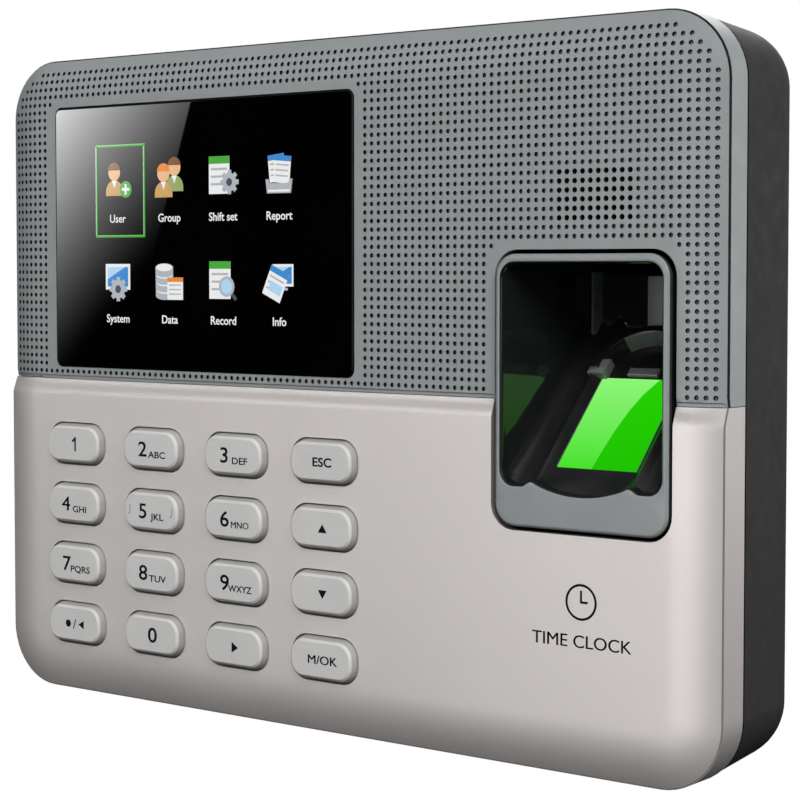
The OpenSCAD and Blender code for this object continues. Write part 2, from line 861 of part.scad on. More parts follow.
module speaker_basket() {
    color("#3a3a3a") stand() at_speaker() difference() {
        translate([0, 0, 27.6]) cylinder(h = speaker_front - 27.6, r = speaker_r);
        translate([0, 0, 28.4]) cylinder(h = 5, r = speaker_r - 1);
        translate([0, 0, 26]) cylinder(h = 4, r = 3.2);
    }
}

module speaker_cone() {
    color("black") stand() at_speaker() rotate_extrude()
        polygon([[0, 30], [2.6, 30], [8.9, 31.7], [8.9, 31.95], [2.6, 30.3], [0, 30.3]]);
}

module speaker_magnet() {
    color("silver") stand() at_speaker() {
        translate([0, 0, 24.4]) cylinder(h = 3.2, r = 6);
        translate([0, 0, 27.5]) cylinder(h = 1.8, r = 3.1);
    }
}

module speaker_gasket() {
    color("#101010") stand() at_speaker() difference() {
        translate([0, 0, speaker_front]) cylinder(h = front - cover_t - speaker_front, r = speaker_r);
        translate([0, 0, 31]) cylinder(h = 4, r = speaker_r - 1.2);
    }
}

module speaker_wires() {
    x0 = 34;
    x1 = speaker_mid[0] - 6.7;
    z = 24.2;
    color("red") stand() for (s = [0, 1]) translate([0, speaker_mid[1] - 1 + 2 * s, 0])
        wire([[x0, 0, board_front + 0.55], [x0, 0, z], [x1, 0, z], [x1, 0, 27]], 0.5);
}

// Round 12 V inlet with a centre pin, its mouth facing down
module dc_jack() {
    w = 9;
    depth = 9.5;
    bore_r = 2.9;
    pin_r = 1;
    color("#151515") stand() difference() {
        box(jack_x - w / 2, jack_face, w, 14, board_front, board_front + 10.7);
        difference() {
            translate([jack_x, jack_face + depth, jack_axis]) rotate([90, 0, 0]) cylinder(h = 12, r = bore_r);
            translate([jack_x, jack_face + depth + 0.5, jack_axis]) rotate([90, 0, 0])
                cylinder(h = depth, r = pin_r);
        }
    }
}

// USB host socket: a folded steel shell round a contact tongue, its mouth facing down
module usb_socket() {
    shell = 0.5;
    tongue = 11.2;
    x0 = usb_x - usb_w / 2;
    z1 = board_front + usb_t;
    color("silver") stand() {
        difference() {
            box(x0, usb_face, usb_w, 14, board_front, z1);
            box(x0 + shell, usb_face - 1, usb_w - 2 * shell, 12.5, board_front + shell, z1 - shell);
        }
        box(usb_x - tongue / 2, usb_face + 1, tongue, 11, board_front + 0.9, board_front + 2.7);
    }
}

wall_plate();
lock_screw();
rear_cover();
case_screws();
mid_frame();
upper_front_cover();
lower_front_cover();
cover_screws();
display_lens();
lens_tape();
lcd_glass();
lcd_tray();
lcd_ribbon();
reader_bezel();
finger_well();
reader_prism();
prism_holder();
reader_camera();
reader_lamps();
reader_board();
reader_screw_set();
reader_cable();
keypad_mat();
keypad_domes();
keypad_board();
keypad_ribbon();
main_board();
board_chips();
board_screw_set();
coin_cell();
cell_holder();
speaker_basket();
speaker_cone();
speaker_magnet();
speaker_gasket();
speaker_wires();
dc_jack();
usb_socket();
for (k = [0:15]) key(k);
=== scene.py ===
import math

import bpy
import bmesh
from mathutils import Matrix, Vector, geometry


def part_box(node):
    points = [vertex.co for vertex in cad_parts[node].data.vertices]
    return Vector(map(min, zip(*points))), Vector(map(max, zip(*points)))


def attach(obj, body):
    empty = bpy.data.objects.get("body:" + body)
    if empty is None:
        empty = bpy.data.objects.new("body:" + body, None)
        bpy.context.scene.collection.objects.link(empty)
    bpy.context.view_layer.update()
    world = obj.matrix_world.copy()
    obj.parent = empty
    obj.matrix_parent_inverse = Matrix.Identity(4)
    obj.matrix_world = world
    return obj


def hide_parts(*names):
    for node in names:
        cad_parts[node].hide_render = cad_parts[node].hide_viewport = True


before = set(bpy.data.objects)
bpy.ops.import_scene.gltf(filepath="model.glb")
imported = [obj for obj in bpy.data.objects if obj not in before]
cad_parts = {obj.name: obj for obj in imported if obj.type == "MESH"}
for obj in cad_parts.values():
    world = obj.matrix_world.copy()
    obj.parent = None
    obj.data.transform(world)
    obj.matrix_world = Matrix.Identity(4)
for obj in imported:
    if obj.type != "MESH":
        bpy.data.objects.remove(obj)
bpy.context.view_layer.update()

# A wall-mounted punch time clock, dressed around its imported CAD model. Lengths in this script are in
# millimetres, in the object's own directions: x to the right, u up the wall and h out of the wall.
MM = 0.001


def at(x, u, h):
    """Row-frame point, in metres, of a place given in millimetres."""
    return Vector((x * MM, -h * MM, u * MM))


class Box:
    """A CAD node's box, in millimetres."""

    def __init__(self, node):
        low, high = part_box(node)
        self.x0, self.x1 = low.x / MM, high.x / MM
        self.u0, self.u1 = low.z / MM, high.z / MM
        self.h0, self.h1 = -high.y / MM, -low.y / MM
        self.x, self.u = (self.x0 + self.x1) / 2, (self.u0 + self.u1) / 2
        self.w, self.d = self.x1 - self.x0, self.u1 - self.u0


UPPER, LOWER = Box("upper_front_cover"), Box("lower_front_cover")
LENS, BEZEL = Box("display_lens"), Box("reader_bezel")
WELL, GLASS = Box("finger_well"), Box("reader_prism")
KEYS = ["key_" + sign for sign in "1 2 3 esc 4 5 6 up 7 8 9 down left 0 right ok".split()]


def place(name, data):
    """A new object in the scene."""
    made = bpy.data.objects.new(name, data)
    bpy.context.scene.collection.objects.link(made)
    return made


# ---- Camera, at the angle of the photograph ----

CAMERA_AT = (0.2624, -0.3501, 0.0232)
CAMERA_WAY = (-0.6092, 0.7917, -0.0467)
FOCAL_LENGTH, SENSOR, SHIFT_UP = 94.5, 36, -0.042


def add_camera():
    data = bpy.data.cameras.new("camera")
    data.lens = FOCAL_LENGTH
    data.sensor_width = SENSOR
    data.shift_y = SHIFT_UP
    camera = place("camera", data)
    camera.location = CAMERA_AT
    camera.rotation_euler = Vector(CAMERA_WAY).to_track_quat("-Z", "Y").to_euler()
    bpy.context.scene.camera = camera


add_camera()


# ---- Materials ----

def linear(colour):
    """Linear RGBA of an sRGB colour given from 0 to 255."""
    return tuple(c / 255 / 12.92 if c <= 10 else ((c / 255 + 0.055) / 1.055) ** 2.4 for c in colour) + (1,)


def set_inputs(node, **values):
    """Sets inputs of a shader node; _ stands for a space in an input's name."""
    for name, value in values.items():
        node.inputs[name.replace("_", " ")].default_value = value
    return node


def shader_node(tree, kind, **values):
    return set_inputs(tree.nodes.new("ShaderNode" + kind), **values)


def along_slope(tree, vector, slope):
    """The value that rises with a vector's reach along a slope."""
    rise = shader_node(tree, "VectorMath")
    rise.operation = "DOT_PRODUCT"
    rise.inputs[1].default_value = slope
    tree.links.new(vector, rise.inputs[0])
    return rise.outputs["Value"]


EYE_GAMMA = 2.2
WHITE = (1, 1, 1, 1)


class Finish:
    """A node material on one Principled shader, built up detail by detail."""

    def __init__(self, colour, rough, metal=0.0, specular=0.5, coat=0.0):
        self.material = bpy.data.materials.new("finish")
        self.material.use_nodes = True
        self.tree = self.material.node_tree
        self.shader = self.tree.nodes["Principled BSDF"]
        self.colour = linear(colour)
        self.rough = rough
        self.put(Base_Color=self.colour, Roughness=rough, Metallic=metal, Specular_IOR_Level=specular,
                 Coat_Weight=coat, Coat_Roughness=0.05)
        self.position = self.node("TexCoord").outputs["Object"]

    def put(self, **values):
        set_inputs(self.shader, **values)

    def link(self, a, b):
        self.tree.links.new(a, b)

    def node(self, kind, **values):
        return shader_node(self.tree, kind, **values)

    def noise(self, size, detail, stretch=(1, 1, 1)):
        """Noise whose features are about size millimetres across."""
        turn = self.node("Mapping", Scale=stretch)
        noise = self.node("TexNoise", Scale=1 / (size * MM), Detail=detail)
        self.link(self.position, turn.inputs["Vector"])
        self.link(turn.outputs["Vector"], noise.inputs["Vector"])
        return noise.outputs["Fac"]

    def ramp(self, value, low, high):
        """value's middle range, stretched to run from low to high."""
        step = self.node("MapRange", From_Min=0.3, From_Max=0.7, To_Min=low, To_Max=high)
        self.link(value, step.inputs["Value"])
        return step.outputs["Result"]

    def blend(self, a, b, share, socket):
        """Drives a colour socket with a mix of two colours."""
        mix = self.node("Mix")
        mix.data_type = "RGBA"
        mix.inputs["A"].default_value = a
        mix.inputs["B"].default_value = b
        self.link(share, mix.inputs["Factor"])
        self.link(mix.outputs["Result"], self.shader.inputs[socket])

    def mottle(self, size, amount, stretch=(1, 1, 1)):
        """Colour that varies by a share of itself over patches of a size."""
        dark = [c * (1 - amount) for c in self.colour[:3]] + [1]
        light = [min(1, c * (1 + amount)) for c in self.colour[:3]] + [1]
        self.blend(dark, light, self.ramp(self.noise(size, 3.0, stretch), 0, 1), "Base Color")
        return self

    def rough_spots(self, size, amount):
        value = self.ramp(self.noise(size, 2.0), self.rough - amount, self.rough + amount)
        self.link(value, self.shader.inputs["Roughness"])
        return self

    def grain(self, size, depth):
        """Fine relief, depth in millimetres."""
        bump = self.node("Bump", Distance=depth * MM, Strength=1.0)
        self.link(self.noise(size, 2.0), bump.inputs["Height"])
        self.link(bump.outputs["Normal"], self.shader.inputs["Normal"])
        return self

    def glow(self, colour, strength):
        self.put(Emission_Color=linear(colour), Emission_Strength=strength)
        return self

    def sweep(self, slope, start, strength):
        """Glow that rises along a slope, per metre, from a start value, as the eye sees brightness."""
        before = along_slope(self.tree, self.position, slope)
        for operation, value in (("ADD", start), ("POWER", EYE_GAMMA), ("MULTIPLY", strength)):
            step = self.node("Math")
            step.operation = operation
            step.use_clamp = operation == "ADD"
            step.inputs[1].default_value = value
            self.link(before, step.inputs[0])
            before = step.outputs["Value"]
        self.put(Emission_Color=WHITE)
        self.link(before, self.shader.inputs["Emission Strength"])
        return self

    def fade(self, start, end, first, last, strength):
        """Glow that fades from one colour to another up the object, between two heights in millimetres."""
        split = self.node("SeparateXYZ")
        self.link(self.position, split.inputs["Vector"])
        share = self.node("MapRange", From_Min=start * MM, From_Max=end * MM)
        self.link(split.outputs["Z"], share.inputs["Value"])
        self.blend(linear(first), linear(last), share.outputs["Result"], "Emission Color")
        self.put(Emission_Strength=strength)
        return self


def plastic(colour, rough, grain=0.012, **more):
    """Moulded plastic: a fine eroded grain, faint mottling and uneven sheen."""
    return Finish(colour, rough, **more).mottle(9, 0.035).rough_spots(4, 0.05).grain(0.18, grain)


def metal(colour, rough):
    """Bare metal, unevenly dulled."""
    return Finish(colour, rough, metal=1.0).mottle(3, 0.08).rough_spots(1.2, 0.08).grain(0.3, 0.004)


def lit(colour):
    """A colour on the display, glossy under the lens."""
    return Finish(tuple(c * 0.5 for c in colour), 0.08).mottle(1.5, 0.12).glow(colour, 0.82)


def lit_glass(colour, low, high):
    """The reader's glass, lit from below in green that changes up its slope."""
    return Finish(colour, 0.06).fade(-13, 3, low, high, 0.95)


paint = {
    "grey_cover": plastic((148, 153, 154), 0.42, specular=0.35),
    "silver_cover": (Finish((202, 197, 195), 0.47, metal=0.55)
                     .mottle(25, 0.01).rough_spots(30, 0.015).grain(0.18, 0.008)),
    # Near black for the upper cover's crease and the bezel's side walls and back: painted shade
    "painted_shade_dark": plastic((38, 38, 38), 0.8),
    # The dimples' and holes' walls near black and their floors darker grey: painted shade in the recesses
    "hole_wall_shade": plastic((30, 31, 32), 0.8, specular=0.2),
    "hole_floor_shade": plastic((112, 116, 117), 0.6, specular=0.3),
    "rear_black": plastic((48, 48, 49), 0.6, grain=0.03, specular=0.12),
    "inner_black": plastic((22, 23, 24), 0.35, specular=0.4),
    "well_black": Finish((27, 28, 29), 0.05, specular=0.4).mottle(8, 0.1).rough_spots(6, 0.02),
    "rest_black": Finish((31, 31, 33), 0.26).mottle(6, 0.12).rough_spots(5, 0.05).grain(0.2, 0.004),
    # Black without gloss for the mid frame: partly its own black, partly painted shade of the gap behind
    # the side band
    "frame_black_gap_shade": plastic((5, 5, 6), 0.8, specular=0.0),
    # Darker silver along the lower cover's crease: painted shade
    "silver_crease_shade": plastic((128, 125, 124), 0.5),
    "bezel_grey": plastic((140, 145, 147), 0.38),
    "key_plastic": plastic((214, 213, 212), 0.42, grain=0.006),
    # Darker grey for the keys' side walls: painted shade
    "key_wall": plastic((172, 170, 169), 0.5, grain=0.006),
    "print_black": plastic((16, 16, 17), 0.8, grain=0.003, specular=0.08),
    "lens_black": Finish((3, 3, 3), 0.012).rough_spots(30, 0.004).mottle(20, 0.2),
    "zinc": metal((186, 189, 192), 0.34),
    "screw_steel": metal((170, 170, 172), 0.3),
    "board_green": Finish((18, 92, 44), 0.3, coat=0.5).mottle(6, 0.25).grain(0.6, 0.02),
    "chip_black": plastic((30, 30, 31), 0.55),
    "flex_orange": Finish((176, 98, 32), 0.28, coat=0.6).mottle(2, 0.12, stretch=(6, 1, 1)),
    "rubber_grey": plastic((178, 178, 178), 0.75),
    "foam_black": Finish((18, 18, 18), 0.95).grain(0.4, 0.2).mottle(0.5, 0.3),
    "tape_white": Finish((220, 220, 218), 0.8).grain(0.5, 0.02).mottle(3, 0.05),
    "dome_gold": metal((206, 172, 92), 0.22),
    "wire_white": plastic((218, 218, 216), 0.5),
    "wire_red": plastic((168, 22, 18), 0.5),
    "display_dark": Finish((26, 30, 34), 0.1, coat=1.0).mottle(6, 0.2),
    "lamp_green": Finish((190, 240, 180), 0.2).mottle(1, 0.1).glow((120, 255, 110), 2.0),
    # The glass's brighter left part: painted reflection
    "glass_painted_gloss": lit_glass((10, 40, 6), (70, 228, 40), (146, 250, 122)),
    "glass_deep": lit_glass((4, 40, 0), (30, 196, 2), (38, 212, 4)),
    # Grey for the glass's seal, and for the panel on the well's back wall, where it is a painted patch of
    # light
    "seal_grey_and_lit_patch": plastic((84, 86, 88), 0.35),
    "ridge_grey": plastic((150, 149, 149), 0.4),
    # Light grey for the fingertip stop's middle, the pads and the rib: painted highlight
    "painted_highlight_grey": Finish((128, 129, 131), 0.3).mottle(2, 0.15).grain(0.3, 0.01),
    # The studio: two cards that the lens mirrors, and the floor
    "card_bright": Finish((0, 0, 0), 1.0, specular=0.0).sweep((-3.07, 0, 3.4), -3.214, 19.4),
    "card_black": Finish((0, 0, 0), 1.0, specular=0.0),
    "floor_pale": Finish((60, 60, 60), 0.9, specular=0.0),
}
SCREEN_COLOURS = {
    "white": (238, 238, 238), "silver": (176, 182, 188), "dark": (74, 82, 92), "green": (72, 168, 62),
    "skin": (232, 184, 138), "brown": (128, 80, 38), "tan": (204, 160, 96),
    "olive": (150, 168, 104), "blue": (66, 138, 206), "pale": (176, 214, 240), "orange": (232, 138, 52),
}
paint.update({"screen_" + name: lit(colour) for name, colour in SCREEN_COLOURS.items()})
for name, finish in paint.items():
    finish.material.name = name


# ---- Mesh building ----

SAME_POINT = 0.0005     # points nearer each other than this are one


class Build:
    """Collects the points and faces of one piece, in millimetres."""

    def __init__(self):
        self.points = []
        self.faces = []
        self.kinds = []

    def add(self, x, u, h):
        self.points.append(at(x, u, h))
        return len(self.points) - 1

    def face(self, ids, kind=0):
        ids = [a for a, b in zip(ids, ids[1:] + ids[:1]) if a != b]
        if len(set(ids)) > 2:
            self.faces.append(ids)
            self.kinds.append(kind)

    def ring(self, outline, h):
        """Points of an outline of (x, u) at a height, or at each point's own height."""
        return [self.add(x, u, h(x, u) if callable(h) else h) for x, u in outline]

    def strip(self, a, b, kind=0, closed=True):
        n = len(a) if closed else len(a) - 1
        for k in range(n):
            j = (k + 1) % len(a)
            self.face([a[k], a[j], b[j], b[k]], kind)

    def stack(self, shape, profile, bottom=True, top=True):
        """Closed body through the outlines shape(grow) at heights, for (grow, height, kind) in profile."""
        before, kind = None, 0
        for grow, h, *own in profile:
            ids = self.ring(shape(grow), h)
            kind = own[0] if own else 0
            if before:
                self.strip(before, ids, kind)
            elif bottom:
                self.face(ids[::-1], kind)
            before = ids
        if top:
            self.face(before, kind)

    def fill(self, ids, kind, loops, keep, chains=(), extra=()):
        """Triangles over loops where keep allows them; ids gives the mesh points of places."""
        points, triangles = triangulate(loops, chains, extra, keep)
        for f in triangles:
            self.face(ids([points[i] for i in f]), kind)

    def plate(self, rings, kind=0):
        """Closed body through rings of points, from the lowest to the highest."""
        for low, high in zip(rings, rings[1:]):
            self.strip(low, high, kind)
        self.face(rings[0][::-1], kind)
        self.face(rings[-1], kind)

    def slab(self, outline, h0, h1, kind=0):
        """Thin closed plate with an outline of (x, u), anticlockwise as seen from the front."""
        self.plate([self.ring(outline, h0), self.ring(outline, h1)], kind)

    def piece(self, name, slot, paints, replaced=(), body="terminal", sharp=32):
        """The scene's object with these points and faces; a face's kind says which of the paints it has."""
        mesh = bpy.data.meshes.new(name)
        mesh.from_pydata(self.points, [], self.faces)
        mesh.polygons.foreach_set("material_index", self.kinds)
        for p in paints:
            mesh.materials.append(paint[p].material)
        bm = bmesh.new()
        bm.from_mesh(mesh)
        bmesh.ops.remove_doubles(bm, verts=bm.verts, dist=SAME_POINT * MM)
        bmesh.ops.recalc_face_normals(bm, faces=bm.faces)
        bm.to_mesh(mesh)
        bm.free()
        mesh.polygons.foreach_set("use_smooth", [True] * len(mesh.polygons))
        mesh.set_sharp_from_angle(angle=math.radians(sharp))
        made = place(name, mesh)
        shade = made.modifiers.new("flat_faces_stay_flat", "WEIGHTED_NORMAL")
        shade.keep_sharp = True
        shade.weight = 60
        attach(made, body)
        if replaced:
            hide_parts(*replaced)
        return made


def arc(x, u, r, start, sweep, steps):
    """Points of an arc, with both its ends."""
    angles = [math.radians(start + sweep * k / steps) for k in range(steps + 1)]
    return [(x + r * math.cos(a), u + r * math.sin(a)) for a in angles]


def rounded(x, u, w, d, r, steps=8):
    """A function of grow that gives the outline of a rounded rectangle grown outward by that much."""
    def outline(grow=0.0):
        rr = max(r + grow, 0.05)
        cx, cu = w / 2 + grow - rr, d / 2 + grow - rr
        points = []
        for quarter, (sx, su) in enumerate([(1, 1), (-1, 1), (-1, -1), (1, -1)]):
            points += arc(x + sx * cx, u + su * cu, rr, 90 * quarter, 90, steps)
        return points
    return outline


def inside(x, u, cx, cu, w, d, r):
    """How far (x, u) lies outside a rounded rectangle; negative inside it."""
    qx, qu = abs(x - cx) - (w / 2 - r), abs(u - cu) - (d / 2 - r)
    return math.hypot(max(qx, 0), max(qu, 0)) + min(max(qx, qu), 0) - r


def spot(p):
    """The place that stands for every point within a rounding error of it."""
    return (round(p[0], 4), round(p[1], 4))


def triangulate(loops, chains, extra, keep):
    """Triangles whose middles pass keep, over closed loops, open chains and loose points of (x, u)."""
    points, edges, where = [], [], {}

    def add(p):
        k = spot(p)
        if k not in where:
            where[k] = len(points)
            points.append(Vector(k))
        return where[k]

    for line in [*loops, *chains]:
        ids = [add(p) for p in line]
        ends = ids[1:] + (ids[:1] if line in loops else [])
        edges += [(a, b) for a, b in zip(ids, ends) if a != b]
    for p in extra:
        add(p)
    out, _, faces, *_ = geometry.delaunay_2d_cdt(points, edges, [], 0, 1e-6)
    kept = [f for f in faces if keep(sum(out[i].x for i in f) / 3, sum(out[i].y for i in f) / 3)]
    return [(p.x, p.y) for p in out], kept


# ---- Front covers ----

CORNER = 12.5
ROLL_W, ROLL_DROP = 10.25, 2.2      # the face's rolled border, and how far it falls
ROLL_R = (ROLL_W ** 2 + ROLL_DROP ** 2) / (2 * ROLL_DROP)
ROLL_ROWS = (2.25, 3.4, 4.6, 5.8, 6.9, 8.0, 9.1, 10.2, 11.3)
COVER_T = 2.0
HALF_X, HALF_U = UPPER.x1 - CORNER, UPPER.u1 - CORNER
CREASE_D, CREASE_W = 12.2, 0.12     # where the rolled face ends and the dark crease begins
UPPER_CREASE, LOWER_CREASE = 0.42, 0.2
UPPER_SEAM, LOWER_SEAM = -0.55, -0.68
OGEE, OGEE_ROWS = 3.2, 12           # height of the S-shaped step below the seam
LIP_TOP, LIP_FOOT, LIP_DROP = 0.19, 0.05, 0.3   # the upper cover's shallow lip along the seam
CORNER_STEPS = 12
CLEAR = 0.2         # how far a triangle's middle may stray over an edge
PITCH = 1.64
DOT_X, DOT_U = 55.76, 40.385        # the dimple at column 0, row 0
DOT_R, DOT_DEPTH, DOT_SIDES = 0.44, 0.62, 12
SPEAKER_R = 0.52
# Blocks of the dimples' grid, as (first column, last, first row, last)
ALL_CELLS = (-87, 19, -15, 24)
LENS_CELLS = (-80, -28, -11, 23)
READER_CELLS = (-9, 15, 9, 24)
SPEAKER_CELLS = (0, 9, 0, 5)
KEY_FLANGE, KEY_R, KEY_GAP = 1.0, 3.7, 0.3
NOTCH = (BEZEL.x - 0.4, BEZEL.u, BEZEL.w + 1.8, BEZEL.d + 1.6, 4.8)
LENS_HOLE = (LENS.x, LENS.u, LENS.w + 0.3, LENS.d + 0.3, 1.8)


def smooth(t):
    """Rises from 0 to 1 in an S, and stays there."""
    t = min(1, max(0, t))
    return t * t * (3 - 2 * t)


def past_rim(x, u):
    """How far (x, u) lies outside the rectangle through the corners' centres."""
    return math.hypot(max(0, abs(x) - HALF_X), max(0, abs(u) - HALF_U))


def rolled(top, x, u):
    t = max(0, past_rim(x, u) - (CORNER - ROLL_W))
    return top - ROLL_R + math.sqrt(ROLL_R ** 2 - t * t)


def upper_height(x, u):
    return rolled(UPPER.h1, x, u) - LIP_DROP * min(1, max(0, (LIP_TOP - u) / (LIP_TOP - LIP_FOOT)))


def lower_height(x, u):
    return rolled(UPPER.h1 + (LOWER.h1 - UPPER.h1) * smooth((LOWER_SEAM - u) / OGEE), x, u)


def rim_stations(seam, way):
    """(base, outward) pairs round a cover's rim from one end of its seam to the other."""
    side, across = int((HALF_U + abs(seam)) / PITCH), int(2 * HALF_X / PITCH)
    x, u = way * HALF_X, way * HALF_U
    turns = [[(way * c, way * s) for c, s in arc(0, 0, 1, start, 90, CORNER_STEPS)] for start in (0, 90)]
    out = [((x, seam + (u - seam) * k / side), (way, 0)) for k in range(side)]
    out += [((x, u), outward) for outward in turns[0]]
    out += [((x * (1 - 2 * k / across), u), (0, way)) for k in range(1, across)]
    out += [((-x, u), outward) for outward in turns[1]]
    out += [((-x, u + (seam - u) * k / side), (-way, 0)) for k in range(1, side + 1)]
    return out


def out_to(stations, d):
    return [(b[0] + n[0] * d, b[1] + n[1] * d) for b, n in stations]


def spread(a, b, step=PITCH):
    """Evenly spaced values strictly between a and b."""
    n = max(1, round(abs(b - a) / step))
    return [a + (b - a) * k / n for k in range(1, n)]


def notch_chain(seam, way):
    """The reader's notch in a cover, from its left end on the seam round to its right end."""
    x, u, w, d, r = NOTCH
    turn = [p for p in rounded(*NOTCH)(0) if way * (p[1] - seam) > 0.3]
    turn.sort(key=lambda p: math.atan2(way * (p[1] - seam), p[0] - x), reverse=True)
    left, right, high = x - w / 2, x + w / 2, u + way * (d / 2 - r)
    rise = [seam, *spread(seam, high)]
    return [(left, v) for v in rise] + turn + [(right, v) for v in rise[::-1]]


def cell_of(x, u):
    return round((x - DOT_X) / PITCH), round((DOT_U - u) / PITCH)


def cell_sides(i, j):
    """The four sides of a grid square, each from its corner and in three steps, as the face's points."""
    cx, cu = DOT_X + i * PITCH, DOT_U - j * PITCH
    thirds = [(0.5 - k / 3) * PITCH for k in range(3)]
    half = PITCH / 2
    return [[(cx + v, cu + half) for v in thirds], [(cx - half, cu + v) for v in thirds],
            [(cx - v, cu - half) for v in thirds], [(cx + half, cu - v) for v in thirds]]


def cover(name, node, slot, paints, way, seam, height, crease, holes, cells, extra, lines=()):
    """A front cover as a closed shell: a detailed face, a plain underside, a crease and a side band.

    way is 1 for the upper cover and -1 for the lower one. holes are rounded rectangles through it. cells
    are the squares of (column, row) that hold a dimple or, where the last item is True, a through hole."""
    b = Build()
    stations = rim_stations(seam, way)
    notch = notch_chain(seam, way)
    hole_loops = [rounded(*h)(0) for h in holes]
    columns = {(i, j): through for i, j, through in cells}

    def open_at(x, u, d):
        return (way * (u - seam) > 0 and past_rim(x, u) < d and inside(x, u, *NOTCH) > 0
                and all(inside(x, u, *h) > 0 for h in holes))

    def outer_loop(d):
        """The outline at d from the corners' centres: rim, seam, notch and seam again."""
        rim = out_to(stations, d)
        turn = notch[::way]
        first = [(x, seam) for x in spread(rim[-1][0], turn[0][0])]
        last = [(x, seam) for x in spread(turn[-1][0], rim[0][0])]
        return rim, first, turn, last

    def layer(depth):
        """A function that gives the mesh points at a depth below places on the face, one for each place."""
        made = {}

        def ids(line):
            for p in map(spot, line):
                if p not in made:
                    made[p] = b.add(*p, height(*p) - depth)
            return [made[spot(p)] for p in line]
        return ids

    on_face, below = layer(0), layer(COVER_T)

    # The face
    rim, first, turn, last = outer_loop(CREASE_D)
    cell_edges, circles, mids = [], [], []
    for (i, j), through in columns.items():
        sides = cell_sides(i, j)
        for side, (di, dj) in enumerate([(0, -1), (-1, 0), (0, 1), (1, 0)]):
            if (i + di, j + dj) not in columns:
                cell_edges.append(sides[side] + [sides[(side + 1) % 4][0]])
        mid = (DOT_X + i * PITCH, DOT_U - j * PITCH)
        circle = arc(*mid, SPEAKER_R if through else DOT_R, 45, 360, DOT_SIDES)[:-1]
        b.strip(on_face(sum(sides, [])), on_face(circle))
        if through:
            circles.append(circle)
            mids.append(mid)
        else:
            # Kinds 2 and 3 give a dimple's wall and floor darker paints on the upper cover: painted shade
            floor = b.ring(circle, lambda x, u: height(x, u) - DOT_DEPTH)
            b.strip(on_face(circle), floor, 2)
            b.face(floor, 3)

    def face_open(x, u, spare=CLEAR):
        return open_at(x, u, CREASE_D + spare) and cell_of(x, u) not in columns

    b.fill(on_face, 0, [rim + first + turn + last] + hole_loops, face_open, cell_edges + list(lines),
           [p for p in extra(stations) if face_open(*p, -0.3)])

    # The underside
    inset = CORNER - COVER_T
    rim_in, first_in, _, last_in = outer_loop(inset)

    def under_open(x, u):
        return (open_at(x, u, inset + CLEAR)
                and all(math.hypot(x - cx, u - cu) > SPEAKER_R * 0.95 for cx, cu in mids))

    b.fill(below, 1, [rim_in + first_in + turn + last_in] + hole_loops + circles, under_open)

    # Walls through the cover; on the upper cover kind 2 paints them near black, painted shade
    for line in hole_loops + circles:
        b.strip(on_face(line), below(line), 2)
    b.strip(on_face(turn), below(turn), closed=False)

    # The rim: crease, side band and foot; the crease's darker paint is painted shade
    heights = [height(*p) - crease for p in rim]
    dent, edge = ([b.add(*p, h) for p, h in zip(out_to(stations, d), heights)]
                  for d in (CREASE_D - CREASE_W, CORNER))
    foot, foot_in = (b.ring(out_to(stations, d), UPPER.h0) for d in (CORNER, inset))
    rows = [on_face(rim), dent, edge, foot, foot_in, below(rim_in)]
    for low, high, kind in zip(rows, rows[1:], (4, 4, 0, 1, 1)):
        b.strip(low, high, kind, closed=False)

    # The two stretches of the seam's edge, each with the side band's end
    for end, along, along_in, stop in ((-1, first, first_in, turn[0]),
                                       (0, last[::-1], last_in[::-1], turn[-1])):
        b.face([rows[0][end], *on_face(along + [stop]), *below([stop] + along_in[::-1])]
               + [row[end] for row in rows[:0:-1]])
    return b.piece(name, slot, paints, [node])


def in_block(i, j, block, trim=0):
    return block[0] + trim <= i <= block[1] - trim and block[2] <= j <= block[3]


def dimple_cells():
    """Squares of the upper cover's grid that hold a dimple, or one of the speaker's holes."""
    first_i, last_i, first_j, last_j = ALL_CELLS
    for j in range(first_j, last_j + 1):
        for i in range(first_i, last_i + 1):
            x, u = DOT_X + i * PITCH, DOT_U - j * PITCH
            at_corner = past_rim(x, u) > 10 and abs(u) - HALF_U > 1.3
            by_lens = in_block(i, j, LENS_CELLS, trim=1 if j == LENS_CELLS[2] else 0)
            by_reader = in_block(i, j, READER_CELLS) or in_block(i, j + 1, READER_CELLS, trim=1)
            if not (at_corner or by_lens or by_reader):
                yield i, j, in_block(i, j, SPEAKER_CELLS)


def roll_points(stations):
    return [p for d in ROLL_ROWS for p in out_to(stations, d)]


def lip_lines():
    """The lip's two edges, each in a stretch on either side of the reader's notch."""
    reach, (x, _, w, _, _) = HALF_X + CREASE_D - 0.4, NOTCH
    return [[(a, u), *((v, u) for v in spread(a, b)), (b, u)]
            for u in (LIP_TOP, LIP_FOOT) for a, b in ((-reach, x - w / 2 - 0.3), (x + w / 2 + 0.3, reach))]


def ogee_points(stations):
    rows = [LOWER_SEAM - OGEE * k / OGEE_ROWS for k in range(1, OGEE_ROWS + 2)]
    across = spread(-HALF_X - CORNER, HALF_X + CORNER)
    far = [(x, u) for x in across[::6] for u in range(-60, -6, 6)]
    return roll_points(stations) + [(x, u) for u in rows for x in across] + far


def key_hole(node):
    k = Box(node)
    grow = 2 * (KEY_GAP - KEY_FLANGE)
    return (k.x, k.u, k.w + grow, k.d + grow, KEY_R + KEY_GAP)


